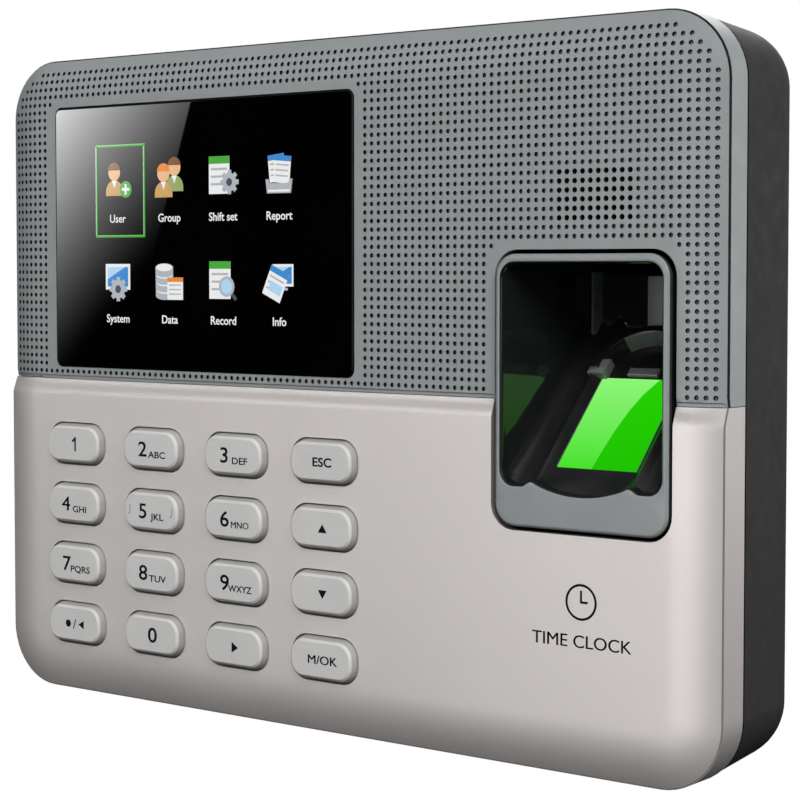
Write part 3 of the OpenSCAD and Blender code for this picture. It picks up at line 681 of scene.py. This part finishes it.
def front_covers():
    cover("upper_cover_skin", "upper_front_cover", "grey_plastic",
          ["grey_cover", "inner_black", "hole_wall_shade", "hole_floor_shade", "painted_shade_dark"],
          1, UPPER_SEAM, upper_height, UPPER_CREASE, [LENS_HOLE], list(dimple_cells()), roll_points,
          lip_lines())
    cover("lower_cover_skin", "lower_front_cover", "silver_plastic",
          ["silver_cover", "inner_black", "silver_cover", "silver_cover", "silver_crease_shade"],
          -1, LOWER_SEAM, lower_height, LOWER_CREASE, [key_hole(k) for k in KEYS], [], ogee_points)


front_covers()


# ---- Lens and keys ----

def lens():
    b = Build()
    shape = rounded(LENS.x, LENS.u, LENS.w, LENS.d, 1.6)
    b.stack(shape, [(0, LENS.h0), (0, LENS.h1 - 0.32), (-0.1, LENS.h1 - 0.14), (-0.45, LENS.h1)])
    return b.piece("lens_plate", "lens_black", ["lens_black"], ["display_lens"])


PRINT_ROOM = 0.03   # room left above a key's face for its printed legend
FLANGE_T = 1.0
STEM = (8.4, 4.4, 1)


def key_cap(node):
    k = Box(node)
    b = Build()
    body = rounded(k.x, k.u, k.w - 2 * KEY_FLANGE, k.d - 2 * KEY_FLANGE, KEY_R, steps=10)
    under, top = LOWER.h1 - 2.3, k.h1 - PRINT_ROOM
    foot = under - FLANGE_T
    b.stack(rounded(k.x, k.u, *STEM, steps=10), [(0, k.h0), (0, foot)], top=False)
    # Rings of kind 1 are the key's walls, which take the darker grey of painted shade
    b.stack(body, [(KEY_FLANGE, foot), (KEY_FLANGE, under, 1), (0, under, 1), (0, LOWER.h1 - 0.2, 1),
                   (-0.5, top - 0.47, 1), (-0.56, top - 0.38), (-0.86, top - 0.08), (-1.0, top)])
    b.piece(node + "_cap", "key_plastic", ["key_plastic", "key_wall"], [node], node, sharp=24)


lens_plate = lens()
for key in KEYS:
    key_cap(key)


# ---- Printing: legends on the keys, labels and icons on the display ----

CAP_SHARE = 0.729   # a capital's height as a share of the built-in font's size
INK = 0.02          # thickness of printing


def lettering(text, x, u, h, cap, narrow=1.0, bold=0.0, thick=INK):
    """Mesh of a line of text, centred at x with its baseline at u, its face at height h."""
    curve = bpy.data.curves.new("text", "FONT")
    curve.body = text
    curve.size = cap / CAP_SHARE * MM
    curve.align_x = "CENTER"
    curve.align_y = "BOTTOM_BASELINE"
    curve.extrude = thick * MM / 2
    curve.offset = bold * MM
    curve.resolution_u = 4
    made = place("text", curve)
    bpy.context.view_layer.update()
    mesh = bpy.data.meshes.new_from_object(made.evaluated_get(bpy.context.evaluated_depsgraph_get()))
    bpy.data.objects.remove(made)
    mesh.transform(Matrix.Translation(at(x, u, h - thick / 2)) @ Matrix.Rotation(math.pi / 2, 4, "X")
                   @ Matrix.Diagonal((narrow, 1, 1, 1)))
    return mesh


def add_lettering(build, text, x, *args, bold=0.03, **more):
    """Adds a line of text. M and 4 close up when this font is made bolder: such words are laid twice."""
    folds = "M" in text or "4" in text
    for shift in (-bold, bold) if folds else (0,):
        mesh = lettering(text, x + shift, *args, bold=0 if folds else bold, **more)
        start = len(build.points)
        build.points.extend(v.co.copy() for v in mesh.vertices)
        for f in mesh.polygons:
            build.faces.append([start + i for i in f.vertices])
            build.kinds.append(0)


def disc(x, u, r, steps=20):
    return arc(x, u, r, 0, 360, steps)[:-1]


def turned(x, u, turn, corners):
    """Corners turned by an angle and moved to (x, u)."""
    c, s = math.cos(math.radians(turn)), math.sin(math.radians(turn))
    return [(x + px * c - pu * s, u + px * s + pu * c) for px, pu in corners]


def bar(x, u, w, d, turn=0):
    return turned(x, u, turn, ((-w / 2, -d / 2), (w / 2, -d / 2), (w / 2, d / 2), (-w / 2, d / 2)))


def arrow(x, u, w, d, turn):
    """Filled triangle that points up before it is turned."""
    return turned(x, u, turn, ((-w / 2, -d / 2), (w / 2, -d / 2), (0, d / 2)))


LETTERS = {"key_2": "ABC", "key_3": "DEF", "key_4": "GHI", "key_5": "JKL", "key_6": "MNO",
           "key_7": "PQRS", "key_8": "TUV", "key_9": "WXYZ"}
WORDS = {"key_esc": "ESC", "key_ok": "M/OK"}
ARROWS = {"key_up": 0, "key_down": 180, "key_right": -90}
# Outlines of the digit 1 and of the ridge on key 5
ONE = [(-0.07, 0), (0.37, 0), (0.37, 3.1), (0.08, 3.1), (-0.2, 2.72), (-0.8, 2.32), (-0.8, 1.92),
       (-0.4, 2.08), (-0.07, 2.33)]
HOOK = [(0.28, 1.1), (0.05, 1.1), (0.05, -0.45), (-0.1, -0.6), (-0.35, -0.6), (-0.35, -0.85), (0.02, -0.85),
        (0.28, -0.55)]
PRINT_GAP = 0.005   # how far printing stays inside the CAD key's box


def legend(node):
    """A key's printed sign: a digit with its letters, a word, an arrow, or a dot with an arrow."""
    k = Box(node)
    h = k.h1 - PRINT_GAP
    b = Build()
    slab_h = (h - INK, h)
    digit = node[-1]
    if node in LETTERS:
        wide = 1.08 if LETTERS[node] in ("MNO", "WXYZ") else 1.3
        add_lettering(b, digit, k.x - 2.0, k.u - 1.45, h, 3.2, narrow=1.2, bold=0.05)
        add_lettering(b, LETTERS[node], k.x + 2.1, k.u - 1.65, h, 1.4, narrow=wide)
    elif node in WORDS:
        add_lettering(b, WORDS[node], k.x + 0.6, k.u - 0.85, h, 1.8, narrow=1.2, bold=0.05)
    elif node in ARROWS:
        b.slab(arrow(k.x + 0.7, k.u, 2.2, 1.7, ARROWS[node]), *slab_h)
    elif node == "key_left":
        b.slab(disc(k.x - 1.6, k.u, 0.8), *slab_h)
        b.slab(bar(k.x + 0.3, k.u, 0.25, 2.2, -20), *slab_h)
        b.slab(arrow(k.x + 2.3, k.u, 1.8, 1.6, 90), *slab_h)
    elif digit == "1":
        b.slab(turned(k.x + 0.7, k.u - 1.5, 0, ONE), *slab_h)
    else:
        add_lettering(b, digit, k.x + 0.6, k.u - 1.45, h, 3.2, narrow=1.25, bold=0.05)
    b.piece(node + "_legend", "key_plastic", ["print_black"], body=node, sharp=180)


def home_marks():
    """The two small hooked ridges that mark the middle key for the fingertip."""
    k = Box("key_5")
    b = Build()
    h = k.h1 - 0.006
    for x in (k.x - 5.9, k.x + 6.1):
        b.slab(turned(x, k.u, 0, HOOK), h - 0.4, h)
    b.piece("key_5_ridges", "key_plastic", ["ridge_grey"], body="key_5")


def front_mark():
    """A plain clock sign and the words for what the object is, low on the right."""
    b = Build()
    x, u, h = 61.5, -36.2, LOWER.h1
    outer, inner = disc(x, u, 3.3, 40), disc(x, u, 2.85, 40)
    slab_h = (h - 0.03, h + INK)
    for k in range(-1, 39):
        b.slab([outer[k], outer[k + 1], inner[k + 1], inner[k]], *slab_h)
    b.slab(bar(x, u + 0.95, 0.42, 2.3), *slab_h)
    b.slab(bar(x + 0.62, u, 1.6, 0.42), *slab_h)
    add_lettering(b, "TIME CLOCK", x, u - 8.2, h + INK, 2.4, narrow=1.1, thick=0.05)
    b.piece("front_mark", "silver_plastic", ["print_black"], sharp=180)


SCREEN_H = LENS.h1 + 0.01
LAYER = 0.015


class Icon(Build):
    """Flat coloured shapes on the display, each on its own thin layer."""

    def __init__(self, x, u):
        super().__init__()
        self.x, self.u, self.level = x, u, 0

    def lay(self, colour, outline):
        h = SCREEN_H + LAYER * self.level
        kind = list(SCREEN_COLOURS).index(colour)
        self.slab(turned(self.x, self.u, 0, outline), h, h + LAYER * 0.8, kind)
        self.level += 1

    def person(self, x, u, shirt, hair):
        shoulders = arc(x, u - 3.4, 2.5, 0, 180, 14)
        self.lay(shirt, [(x + 2.5, u - 4.2), *shoulders, (x - 2.5, u - 4.2)])
        self.lay("white", [(x - 0.7, u - 1.0), (x, u - 2.6), (x + 0.7, u - 1.0)])
        self.lay("skin", disc(x, u + 0.7, 1.75))
        self.lay(hair, arc(x, u + 1.0, 1.85, 5, 170, 14))

    def gear(self, x, u, r):
        for k, tooth in enumerate(disc(x, u, r, 8)):
            self.lay("silver", bar(*tooth, r * 0.55, r * 0.5, 45 * k))
        self.lay("silver", disc(x, u, r))
        self.lay("dark", disc(x, u, r * 0.42, 14))

    def page(self, x, u, w, d, head, turn=0):
        lines = [("silver", rise, 0.78, 0.06) for rise in (0.16, -0.04, -0.24)]
        for colour, rise, across, tall in [("white", 0, 1, 1), (head, 0.4, 1, 0.2), *lines]:
            (mid,) = turned(x, u, turn, [(0, d * rise)])
            self.lay(colour, bar(*mid, w * across, d * tall, turn))

    def monitor(self, x, u, w, d):
        self.lay("silver", bar(x, u - d * 0.62, w * 0.45, d * 0.12))
        self.lay("white", bar(x, u, w, d))
        self.lay("blue", bar(x, u, w * 0.84, d * 0.76))
        left, top = x - w * 0.42, u + d * 0.38
        self.lay("pale", [(left, top), (left, u - d * 0.1), (x + w * 0.3, top)])


def icon_user(i):
    i.person(-0.9, 1.2, "tan", "brown")
    i.lay("green", disc(2.5, -1.7, 1.75))
    i.lay("white", bar(2.5, -1.7, 2.2, 0.6))
    i.lay("white", bar(2.5, -1.7, 0.6, 2.2))


def icon_group(i):
    i.person(1.5, 1.8, "olive", "brown")
    i.person(-1.5, 0.6, "tan", "orange")


def icon_shift(i):
    i.page(-1.0, 0.6, 5.6, 7.6, "green")
    i.gear(1.9, -0.9, 1.9)


def icon_report(i):
    i.page(-0.6, 1.6, 4.2, 5.4, "blue", 6)
    i.page(0.9, 1.3, 4.2, 5.4, "blue", -5)
    i.lay("silver", [(-3.4, -0.6), (-3.0, -3.4), (3.2, -3.4), (3.6, -0.6), (2.8, -0.6), (2.6, -1.4),
                     (-2.4, -1.4), (-2.6, -0.6)])
    i.lay("white", bar(0.1, -2.9, 5.6, 0.4))


def icon_system(i):
    i.monitor(0, 1.0, 7.2, 5.4)
    i.gear(0.2, -1.6, 2.0)


def flat_arc(x, u, r, start, sweep):
    """An arc seen from the side, as on a drum."""
    return [(px, u + (pu - u) * 0.34) for px, pu in arc(x, u, r, start, sweep, 16)]


def icon_data(i):
    for k in range(4):
        foot, head = -2.9 + 1.55 * k, -1.7 + 1.55 * k
        i.lay("silver", flat_arc(-1.4, foot, 2.5, 180, 180) + flat_arc(-1.4, head, 2.5, 0, 180))
        i.lay("white", flat_arc(-1.4, head, 2.3, 0, 360)[:-1])
    i.page(1.7, -1.4, 4.4, 4.6, "orange")


def icon_record(i):
    i.page(-0.9, 0.4, 5.8, 7.6, "green")
    i.lay("dark", bar(2.6, -2.6, 2.6, 0.8, -45))
    i.lay("silver", disc(1.0, -0.9, 2.1))
    i.lay("pale", disc(1.0, -0.9, 1.5))


def icon_info(i):
    i.monitor(1.0, 1.4, 5.4, 4.4)
    i.page(-0.9, -0.3, 5.0, 6.2, "blue", -24)
    i.lay("pale", bar(-0.9, -1.2, 3.4, 2.0, -24))


ICONS = [(icon_user, "User"), (icon_group, "Group"), (icon_shift, "Shift set"), (icon_report, "Report"),
         (icon_system, "System"), (icon_data, "Data"), (icon_record, "Record"), (icon_info, "Info")]
ICON_X, ICON_U = -54.8, 41.4        # the first icon's middle
ICON_PITCH_X, ICON_PITCH_U = 14.95, 21.0
LABEL_DROP = 8.6
FRAME_W, FRAME_D, FRAME_T = 14.0, 19.0, 0.5     # the mark round the chosen icon


def display_picture():
    colours = ["screen_" + name for name in SCREEN_COLOURS]
    words = Build()
    for k, (draw, label) in enumerate(ICONS):
        x, u = ICON_X + (k % 4) * ICON_PITCH_X, ICON_U - (k // 4) * ICON_PITCH_U
        icon = Icon(x, u)
        draw(icon)
        icon.piece("screen_icon_%d" % (k + 1), "display_glass", colours, sharp=180)
        add_lettering(words, label, x, u - LABEL_DROP, SCREEN_H + INK, 1.75)
    words.piece("screen_labels", "display_glass", ["screen_white"], sharp=180)
    b = Build()
    x, u = ICON_X + 0.8, ICON_U - 2.0
    for side in (-1, 1):
        for line in (bar(x, u + side * FRAME_D / 2, FRAME_W + 0.4, FRAME_T),
                     bar(x + side * FRAME_W / 2, u, FRAME_T, FRAME_D)):
            b.slab(line, SCREEN_H, SCREEN_H + INK)
    b.piece("screen_selection", "display_glass", ["screen_green"], sharp=180)


for key in KEYS:
    legend(key)
home_marks()
front_mark()
display_picture()


# ---- Fingerprint reader ----

OPEN_HALF, OPEN_TOP, OPEN_R = 16.7, 24.0, 2.6
OPEN_STEP, OPEN_TURN = 1.2, 8       # spacing of the opening's points, and steps round its corners
LIP_LOW, LIP_PEAK, LIP_GUTTER = -17.1, -14.95, -15.9
LIP_R = 24.9                        # radius of the lip's scallop
SCALLOP_END, PEAK_X, GUTTER_X = -9.0, -10.3, -12.6
SLOPE = GLASS.u0 + GLASS.h1         # the glass lies where u + h has this value
WELL_BACK = 6.5
DRAFT_START, DRAFT = 10, 2.0        # where the well's side walls begin to lean, and by how much


def opening(grow=0.0):
    """The bezel's opening, anticlockwise: the scalloped lip, then two upper corners."""
    side, top = OPEN_HALF - OPEN_R, OPEN_TOP - OPEN_R
    left = arc(-side, LIP_GUTTER + OPEN_R, OPEN_R, 180, 90, OPEN_TURN)
    for k in range(1, 9):
        swell = (1 - math.cos(math.pi * k / 8)) / 2
        left.append((GUTTER_X + (PEAK_X - GUTTER_X) * k / 8, LIP_GUTTER + (LIP_PEAK - LIP_GUTTER) * swell))
    left += [(x, LIP_PEAK - (x - PEAK_X) ** 2 * 0.3) for x in (-10.0, -9.7, -9.4)]
    for k in range(14):
        x = SCALLOP_END * (1 - k / 14)
        left.append((x, LIP_LOW + LIP_R - math.sqrt(LIP_R ** 2 - x * x)))
    bottom = left + [(0, LIP_LOW)] + [(-x, u) for x, u in left[::-1]]
    line = (bottom + [(OPEN_HALF, u) for u in spread(bottom[-1][1], top, OPEN_STEP)]
            + arc(side, top, OPEN_R, 0, 90, OPEN_TURN)
            + [(x, OPEN_TOP) for x in spread(side, -side, OPEN_STEP)]
            + arc(-side, top, OPEN_R, 90, 90, OPEN_TURN)
            + [(-OPEN_HALF, u) for u in spread(top, bottom[0][1], OPEN_STEP)])
    out = []
    for k, (x, u) in enumerate(line):
        (ax, au), (bx, bu) = line[k - 1], line[(k + 1) % len(line)]
        dx, du = bx - ax, bu - au
        size = math.hypot(dx, du)
        out.append((BEZEL.x + x + grow * du / size, u - grow * dx / size))
    return out


def between(build, outer, inner, h, kind=0):
    """Flat face between two outlines at one height."""
    build.fill(lambda line: build.ring(line, h), kind, [outer, inner],
               lambda x, u: within(x, u, outer) and not within(x, u, inner))


def within(x, u, line):
    """Whether (x, u) is inside an outline: a ray from there crosses it an odd number of times."""
    odd = False
    for k in range(len(line)):
        (ax, au), (bx, bu) = line[k - 1], line[k]
        if (au > u) != (bu > u) and x < (bx - ax) * (u - au) / (bu - au) + ax:
            odd = not odd
    return odd


def bezel():
    b = Build()
    outer = rounded(BEZEL.x, BEZEL.u, BEZEL.w, BEZEL.d, 4.1, steps=10)
    top, low = BEZEL.h1, BEZEL.h0
    # Kind 1, the outer side wall and the back, takes the near black of painted shade
    rings = [(0, low, 1), (0, top - 0.5, 1), (-0.1, top - 0.25, 0), (-0.32, top - 0.07, 0), (-0.65, top, 0)]
    b.stack(outer, rings, bottom=False, top=False)
    # Below its top sliver the opening's rounded edge takes the well's black (kind 2): painted shade on the
    # round-over
    b.stack(opening, [(0.6, top, 0), (0.42, top - 0.06, 0), (0.2, top - 0.22, 2), (0.06, top - 0.5, 2),
                      (0, top - 0.8, 2), (0, low, 2)], bottom=False, top=False)
    between(b, outer(-0.65), opening(0.6), top)
    between(b, outer(0), opening(0), low, 1)
    b.piece("reader_bezel_frame", "bezel_plastic", ["bezel_grey", "painted_shade_dark", "well_black"],
            ["reader_bezel"], sharp=40)


RIDGE, RIDGE_X = 1.5, 10.0          # height of the two finger ridges, and where they peak


def rest_profile(x, along):
    """Height of the finger rest above the glass's plane, at x across it and along it from its foot."""
    a = abs(x)
    if a > RIDGE_X:
        fillet = OPEN_R - math.sqrt(max(0, OPEN_R ** 2 - max(0, a - OPEN_HALF + OPEN_R) ** 2))
        return RIDGE - 0.95 * smooth((a - RIDGE_X) / 2.4) + fillet * 0.7
    flat = RIDGE * smooth((a - 8.6) / 1.4)
    channel = a ** 2 / 68
    return flat + (channel - flat) * smooth((-0.6 - along) / 4)


def drafted(x, h):
    """The well's side walls lean in towards its back."""
    share = max(0, abs(x - BEZEL.x) - DRAFT_START) / (OPEN_HALF - DRAFT_START)
    lean = DRAFT * share * (BEZEL.h0 - h) / (BEZEL.h0 - WELL_BACK)
    return x - math.copysign(lean, x - BEZEL.x)


def rest_height(x, u):
    along = (u - GLASS.u0) * math.sqrt(2)
    return max(WELL_BACK, SLOPE - u + math.sqrt(2) * rest_profile(x - BEZEL.x, along))


def finger_well():
    b = Build()
    line, inner_line = opening(0), opening(-0.3)
    deep = [(x, u) for x in spread(BEZEL.x - OPEN_HALF, BEZEL.x + OPEN_HALF, 0.65)
            for u in spread(LIP_LOW - 0.5, OPEN_TOP, 0.9) if within(x, u, inner_line)]
    points, triangles = triangulate([line], [], deep, lambda x, u: within(x, u, line))
    heights = [min(BEZEL.h0, rest_height(x, u)) for x, u in points]
    ids = [b.add(drafted(p[0], h), p[1], h) for p, h in zip(points, heights)]
    where = {spot(p): i for p, i in zip(points, ids)}
    for f in triangles:
        b.face([ids[i] for i in f], 1 if max(heights[i] for i in f) > WELL_BACK + 0.01 else 0)
    floor = [where[spot(p)] for p in line]
    top = b.ring(line, BEZEL.h0)
    b.strip(floor, top)
    body = rounded(WELL.x, WELL.u, BEZEL.w - 0.6, BEZEL.d - 0.8, 3.8)
    b.stack(body, [(0, WELL.h0), (0, BEZEL.h0)], top=False)
    between(b, body(0), line, BEZEL.h0)
    b.piece("reader_well", "inner_plastic", ["well_black", "rest_black"], ["finger_well"], sharp=35)


def on_glass(build, outline, lift):
    """Points over the glass: x from its middle, along its slope from its foot, and lift above its plane."""
    c = math.sqrt(0.5)
    return [build.add(BEZEL.x + x, GLASS.u0 + (along + lift) * c, SLOPE - GLASS.u0 + (lift - along) * c)
            for x, along in outline]


def sloped_pad(build, x0, x1, s0, s1, low, high, eased=0.0):
    """Small plate lying on the glass's slope, whose top edges may be eased."""
    rings = []
    for lift, e in ((low, 0), (high - eased, 0), (high, eased)):
        corners = [(x0 + e, s0 + e), (x1 - e, s0 + e), (x1 - e, s1 - e), (x0 + e, s1 - e)]
        rings.append(on_glass(build, corners, lift))
    build.plate(rings if eased else rings[:2])


def glass():
    """The lit glass: a slab whose face is brighter to the left of a curved boundary, a painted reflection.
    """
    b = Build()
    length = (GLASS.u1 - GLASS.u0) * math.sqrt(2)
    border = [(0.443, 0), (0.457, 0.17), (0.49, 0.41), (0.545, 0.64), (0.62, 0.83), (0.74, 1)]
    halves = [(0, 0), *border, (0, 1)], [(1, 0), (1, 1), *border[::-1]]
    for kind, half in enumerate(halves):
        rim = [((across - 0.5) * GLASS.w, along * length) for across, along in half]
        b.plate([on_glass(b, rim, -1.0), on_glass(b, rim, 0.15)], kind)
    b.piece("reader_glass", "green_glass", ["glass_painted_gloss", "glass_deep"], ["reader_prism"])
    seal = Build()
    for x in (-GLASS.w / 2 - 0.14, GLASS.w / 2 + 0.14):
        sloped_pad(seal, x - 0.12, x + 0.12, 0, length, -0.3, 0.18)
    seal.piece("reader_glass_seal", "inner_plastic", ["seal_grey_and_lit_patch"])


STOP_SECTION = [(7.6, -0.6), (8.2, 2.2), (8.8, 3.0), (10.2, 3.0), (10.9, -0.6)]    # (radius, lift)
STOP_STEPS = 28
STOP_START, STOP_SWEEP = -8, 196
STOP_MID = 23.4     # how far along the slope the horseshoe's middle lies


def fingertip_stop():
    """Horseshoe wall above the glass that stops the fingertip; its inner face is lighter at the middle, a
    painted highlight.
    """
    b = Build()
    rows = []
    for k in range(STOP_STEPS + 1):
        a = math.radians(STOP_START + STOP_SWEEP * k / STOP_STEPS)
        rows.append([on_glass(b, [(r * math.cos(a), STOP_MID + (r - 0.6) * math.sin(a))], lift)[0]
                     for r, lift in STOP_SECTION])
    for k in range(STOP_STEPS):
        # The inner face's middle stretch takes the light grey of painted highlight
        inner = 1 if STOP_STEPS * 0.35 < k < STOP_STEPS * 0.68 else 0
        for j, kind in enumerate((inner, inner, 0, 0)):
            b.face([rows[k][j], rows[k][j + 1], rows[k + 1][j + 1], rows[k + 1][j]], kind)
        b.face([rows[k][4], rows[k][0], rows[k + 1][0], rows[k + 1][4]])
    b.face(rows[0], 1)
    b.face(rows[-1][::-1], 1)
    b.piece("fingertip_stop", "inner_plastic", ["rest_black", "painted_highlight_grey"], sharp=40)


def on_back_wall(name, colour, shape, *levels):
    """Something that stands on the well's back wall."""
    b = Build()
    b.stack(shape, [(0, WELL_BACK - 0.2), *levels])
    b.piece(name, "inner_plastic", [colour])


def well_details():
    """Arm ends and a contact pad by the glass, and a rib and a light-grey panel on the well's back wall.
    Their light greys are painted: highlights on the pads and the rib, a patch of light on the panel.
    """
    b = Build()
    sloped_pad(b, -3.2, 3.2, 22.5, 24.3, -0.4, 0.7, 0.15)
    for x in (-9.2, 9.2):
        sloped_pad(b, x - 1.9, x + 1.9, 21.6, 25.2, -0.4, 2.6, 0.8)
    b.piece("reader_pads", "inner_plastic", ["painted_highlight_grey"])
    rib = rounded(BEZEL.x - 14.5, 16.5, 0.8, 12.2, 0.38)
    on_back_wall("well_rib", "painted_highlight_grey", rib, (0, 9.3), (-0.25, 9.7))
    # The panel is a painted patch of light on the back wall
    panel = rounded(BEZEL.x + 3, 16.0, 14.0, 11.6, 0.4)
    on_back_wall("well_lit_patch", "seal_grey_and_lit_patch", panel, (0, WELL_BACK + 0.25), (-0.15, WELL_BACK + 0.4))


bezel()
finger_well()
glass()
fingertip_stop()
well_details()


# ---- The rest of the CAD nodes keep their shapes ----

CAD_FINISH = {
    "zinc": "wall_plate lcd_tray usb_socket",
    "screw_steel": "lock_screw case_screws cover_screws reader_screw_set board_screw_set coin_cell "
                   "speaker_magnet",
    "rear_black": "rear_cover",
    "frame_black_gap_shade": "mid_frame",
    "inner_black": "prism_holder cell_holder speaker_basket dc_jack",
    "tape_white": "lens_tape",
    "display_dark": "lcd_glass",
    "flex_orange": "lcd_ribbon keypad_ribbon",
    "chip_black": "reader_camera board_chips speaker_cone",
    "lamp_green": "reader_lamps",
    "board_green": "reader_board keypad_board main_board",
    "wire_white": "reader_cable",
    "wire_red": "speaker_wires",
    "rubber_grey": "keypad_mat",
    "dome_gold": "keypad_domes",
    "foam_black": "speaker_gasket",
}


for name, nodes in CAD_FINISH.items():
    for node in nodes.split():
        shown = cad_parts[node]
        if not shown.material_slots:
            shown.data.materials.append(paint[name].material)
        for slot in shown.material_slots:
            slot.material = paint[name].material


# ---- Lights, floor and background ----

def area_light(name, where, size, power):
    """A lamp that points at the object."""
    data = bpy.data.lights.new(name, "AREA")
    data.shape = "RECTANGLE"
    data.size, data.size_y = size
    data.energy = power
    lamp = place(name, data)
    lamp.location = where
    lamp.rotation_euler = (-Vector(where)).to_track_quat("-Z", "Y").to_euler()
    return lamp


def spare_lens(lamp):
    """The lens is left out of a lamp's light, so that its gloss doesn't mirror the lamp."""
    group = bpy.data.collections.new(lamp.name + "_spares")
    group.objects.link(lens_plate)
    group.collection_objects[0].light_linking.link_state = "EXCLUDE"
    lamp.light_linking.receiver_collection = group


# Name: (place, size, power)
LAMPS = {
    "key_light": ((1.2, -1.2, 1.1), (0.9, 0.9), 26),
    "key_gloss": ((1.2, -1.2, 1.1), (1.6, 1.6), 8),
    "side_light": ((1.7, -0.1, 0.5), (0.6, 1.2), 3),
    "back_light": ((-0.6, 1.5, 1.0), (1.2, 1.2), 14),
    "fill_light": ((-0.9, -1.5, 0.4), (1.0, 1.0), 2),
}
# These give sheen only: on the step below the seam, the side band, and the silver cover's right and left
SHEENS = {
    "ogee_sheen": ((-0.9, -1.3, 0.7), (0.8, 0.4), 4),
    "band_sheen": ((0.85, 1.5, 0.15), (0.8, 0.8), 4.2),
    "right_sheen": ((-0.3, -1.4, -0.05), (0.8, 0.8), 7.5),
    "left_sheen": ((-1.15, -1.2, 0.05), (0.5, 0.7), 2.5),
}


def lights():
    lamps = {name: area_light(name, *values) for name, values in LAMPS.items()}
    lamps["key_light"].visible_glossy = False
    spare_lens(lamps["fill_light"])
    for name, values in SHEENS.items():
        lamp = area_light(name, *values)
        lamp.visible_diffuse = False
        spare_lens(lamp)


def flat(name, corners):
    """A flat thing of the studio, which isn't part of the object."""
    mesh = bpy.data.meshes.new(name)
    mesh.from_pydata(corners, [], [tuple(range(len(corners)))])
    mesh.materials.append(paint[name].material)
    made = place(name, mesh)
    return made


def lens_cards():
    """A soft bright card that the lens mirrors at its upper left, in front of a black one."""
    near, far = -1.035, -1.05
    bright = [(-0.962, near, 0.20), (-1.015, near, 0.047), (-1.070, near, -0.11), (-1.30, near, -0.11),
              (-1.30, near, 0.20)]
    black = [(-1.7, far, -0.4), (-0.5, far, -0.4), (-0.5, far, 0.5), (-1.7, far, 0.5)]
    for card in (flat("card_bright", bright), flat("card_black", black)):
        for kind in ("camera", "diffuse", "shadow", "transmission", "volume_scatter"):
            setattr(card, "visible_" + kind, False)


def white_to_camera(tree, plain_shader, white_kind, output):
    """Shows white to the camera and a shader to everything else."""
    white = shader_node(tree, white_kind, Color=WHITE, Strength=1.0)
    path, mix = shader_node(tree, "LightPath"), shader_node(tree, "MixShader")
    tree.links.new(path.outputs["Is Camera Ray"], mix.inputs["Fac"])
    tree.links.new(plain_shader.outputs[0], mix.inputs[1])
    tree.links.new(white.outputs[0], mix.inputs[2])
    tree.links.new(mix.outputs["Shader"], tree.nodes[output].inputs["Surface"])


FLOOR_HALF, FLOOR_LOW = 12, -1.5
SQUARE = ((-1, -1), (1, -1), (1, 1), (-1, 1))


def backdrop():
    """A pale floor far below, and soft light from the right, the front and above."""
    world = bpy.data.worlds.new("studio")
    bpy.context.scene.world = world
    world.use_nodes = True
    tree = world.node_tree
    shade = tree.nodes["Background"]
    set_inputs(shade, Color=WHITE)
    level = shader_node(tree, "MapRange", From_Min=-0.8, From_Max=0.8, To_Min=0.02, To_Max=0.42)
    way = shader_node(tree, "TexCoord").outputs["Generated"]
    tree.links.new(along_slope(tree, way, (0.75, -0.2, 0.62)), level.inputs["Value"])
    tree.links.new(level.outputs["Result"], shade.inputs["Strength"])
    white_to_camera(tree, shade, "Background", "World Output")
    flat("floor_pale", [(x * FLOOR_HALF, y * FLOOR_HALF, FLOOR_LOW) for x, y in SQUARE])
    pale = paint["floor_pale"]
    white_to_camera(pale.tree, pale.shader, "Emission", "Material Output")


lights()
lens_cards()
backdrop()
bpy.context.scene.view_settings.view_transform = "Standard"
